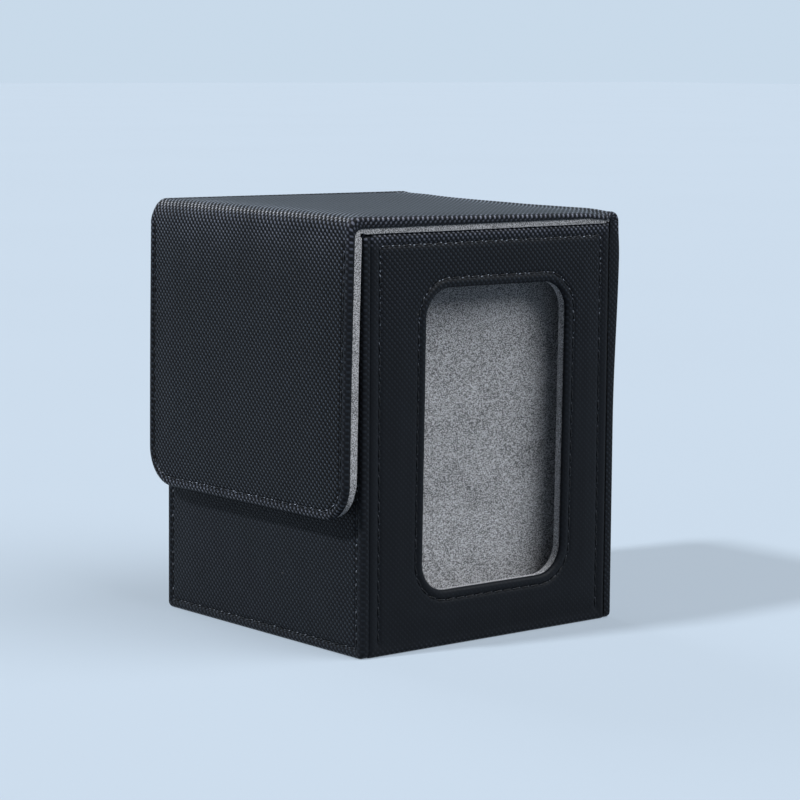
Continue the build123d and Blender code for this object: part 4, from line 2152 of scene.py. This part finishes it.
class CARDBOX_OT_set_stage(bpy.types.Operator):
    """Put the box on a pale floor with soft lamps and the camera"""

    bl_idname = "card_box.set_stage"
    bl_label = "Stage"

    def execute(self, context):
        stage = settings("stage")
        scene = context.scene
        scene.view_settings.view_transform = "Standard"
        self.add_camera(scene, stage)
        self.add_lamp(scene, "Key lamp", stage.key_direction, stage.key_light, degrees=6)
        self.add_lamp(scene, "Side lamp", stage.side_direction, stage.side_light, degrees=56)
        self.add_lamp(scene, "Left lamp", stage.left_direction, stage.left_light, degrees=25)
        self.add_backdrop(scene, stage)
        self.add_floor(stage)
        return {"FINISHED"}

    def add_camera(self, scene, stage):
        """The camera, at the photograph's angle."""
        data = bpy.data.cameras.new("Camera")
        data.lens = stage.lens
        camera = bpy.data.objects.new("Camera", data)
        camera.location = stage.camera_place
        away = Vector(stage.camera_place) - Vector(stage.camera_aim)
        facing = away.to_track_quat("Z", "Y")
        camera.rotation_euler = (facing @ Quaternion((0, 0, 1), stage.camera_roll)).to_euler()
        scene.collection.objects.link(camera)
        scene.camera = camera

    def add_lamp(self, scene, name, direction, share, degrees):
        """A far soft lamp that is so many degrees wide, whose share of 1 shows colours as written."""
        data = bpy.data.lights.new(name, "SUN")
        data.energy = share * math.pi
        data.angle = math.radians(degrees)
        lamp = bpy.data.objects.new(name, data)
        lamp.rotation_euler = Vector(direction).to_track_quat("Z", "Y").to_euler()
        scene.collection.objects.link(lamp)

    def add_backdrop(self, scene, stage):
        """A pale backdrop for the camera and for reflections, and a plain sky for the light."""
        world = bpy.data.worlds.new("Backdrop")
        world.use_nodes = True
        tree = world.node_tree
        tree.nodes.clear()
        seen = seen_directly(tree)
        sky = add_node(
            tree, "ShaderNodeBackground", {"Color": (0.95, 0.98, 1, 1), "Strength": stage.sky_light}
        )
        pale = add_node(
            tree, "ShaderNodeBackground", {"Color": (*stage.backdrop_colour, 1), "Strength": 1.0}
        )
        both = add_node(
            tree, "ShaderNodeMixShader", {0: seen, 1: sky.outputs[0], 2: pale.outputs[0]}
        )
        end = add_node(tree, "ShaderNodeOutputWorld", {"Surface": both.outputs[0]})
        end.is_active_output = True
        scene.world = world

    def add_floor(self, stage):
        """A wide floor just under the box."""
        half_side, gap = 12, 0.05 * MM
        made, tree, end = new_material("Floor")
        clouds = grained(tree, on_object(tree), 0.5, 0.4)["Clouds"]
        pale = stage.floor_colour
        colour = blended(tree, clouds, brighter(pale, 0.985), brighter(pale, 1.015))
        bounced = brighter(pale, stage.floor_bounce)
        soft = add_node(tree, "ShaderNodeLightPath").outputs["Is Diffuse Ray"]
        seen = blended(tree, soft, colour, bounced)
        lit = add_node(tree, "ShaderNodeBsdfDiffuse", {"Color": seen})
        glow = add_node(tree, "ShaderNodeEmission", {"Color": colour, "Strength": 1.0})
        shown = maths(tree, "MULTIPLY", seen_directly(tree), stage.floor_glow)
        both = add_node(tree, "ShaderNodeMixShader", {0: shown, 1: lit.outputs[0], 2: glow.outputs[0]})
        tree.links.new(both.outputs[0], end.inputs["Surface"])
        bm = bmesh.new()
        bmesh.ops.create_grid(bm, x_segments=4, y_segments=4, size=half_side)
        bmesh.ops.translate(bm, verts=bm.verts[:], vec=(0, 0, -gap))
        meshed(bm, "floor", made)


OPERATORS = (
    CARDBOX_OT_set_stage,
    CARDBOX_OT_cover_walls,
    CARDBOX_OT_cover_window_wall,
    CARDBOX_OT_cover_lid_and_flap,
    CARDBOX_OT_make_folds,
    CARDBOX_OT_line_box,
    CARDBOX_OT_make_pocket,
    CARDBOX_OT_finish_boards,
)


class CARDBOX_PT_tools(bpy.types.Panel):
    """Steps that dress the card box"""

    bl_idname = "CARDBOX_PT_tools"
    bl_label = "Card Box"
    bl_space_type = "VIEW_3D"
    bl_region_type = "UI"
    bl_category = "Card Box"

    def draw(self, context):
        for operator in OPERATORS:
            self.layout.operator(operator.bl_idname)
        for name, group in SETTINGS.items():
            box = self.layout.box()
            for field in group.__annotations__:
                box.prop(getattr(context.scene, name), field)


def register():
    """Makes the settings, the steps and the panel known to Blender."""
    for group in SETTINGS.values():
        bpy.utils.register_class(group)
    for operator in OPERATORS:
        bpy.utils.register_class(operator)
    bpy.utils.register_class(CARDBOX_PT_tools)
    for name, group in SETTINGS.items():
        setattr(bpy.types.Scene, name, bpy.props.PointerProperty(type=group))


def unregister():
    """Takes everything out again."""
    for name in SETTINGS:
        delattr(bpy.types.Scene, name)
    bpy.utils.unregister_class(CARDBOX_PT_tools)
    for operator in reversed(OPERATORS):
        bpy.utils.unregister_class(operator)
    for group in SETTINGS.values():
        bpy.utils.unregister_class(group)


def main():
    """Dresses the box."""
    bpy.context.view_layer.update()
    register()
    bpy.ops.card_box.set_stage()
    bpy.ops.card_box.cover_walls()
    bpy.ops.card_box.cover_window_wall()
    bpy.ops.card_box.cover_lid_and_flap()
    bpy.ops.card_box.make_folds()
    bpy.ops.card_box.line_box()
    bpy.ops.card_box.make_pocket()
    bpy.ops.card_box.finish_boards()


if __name__ == "__main__":
    main()
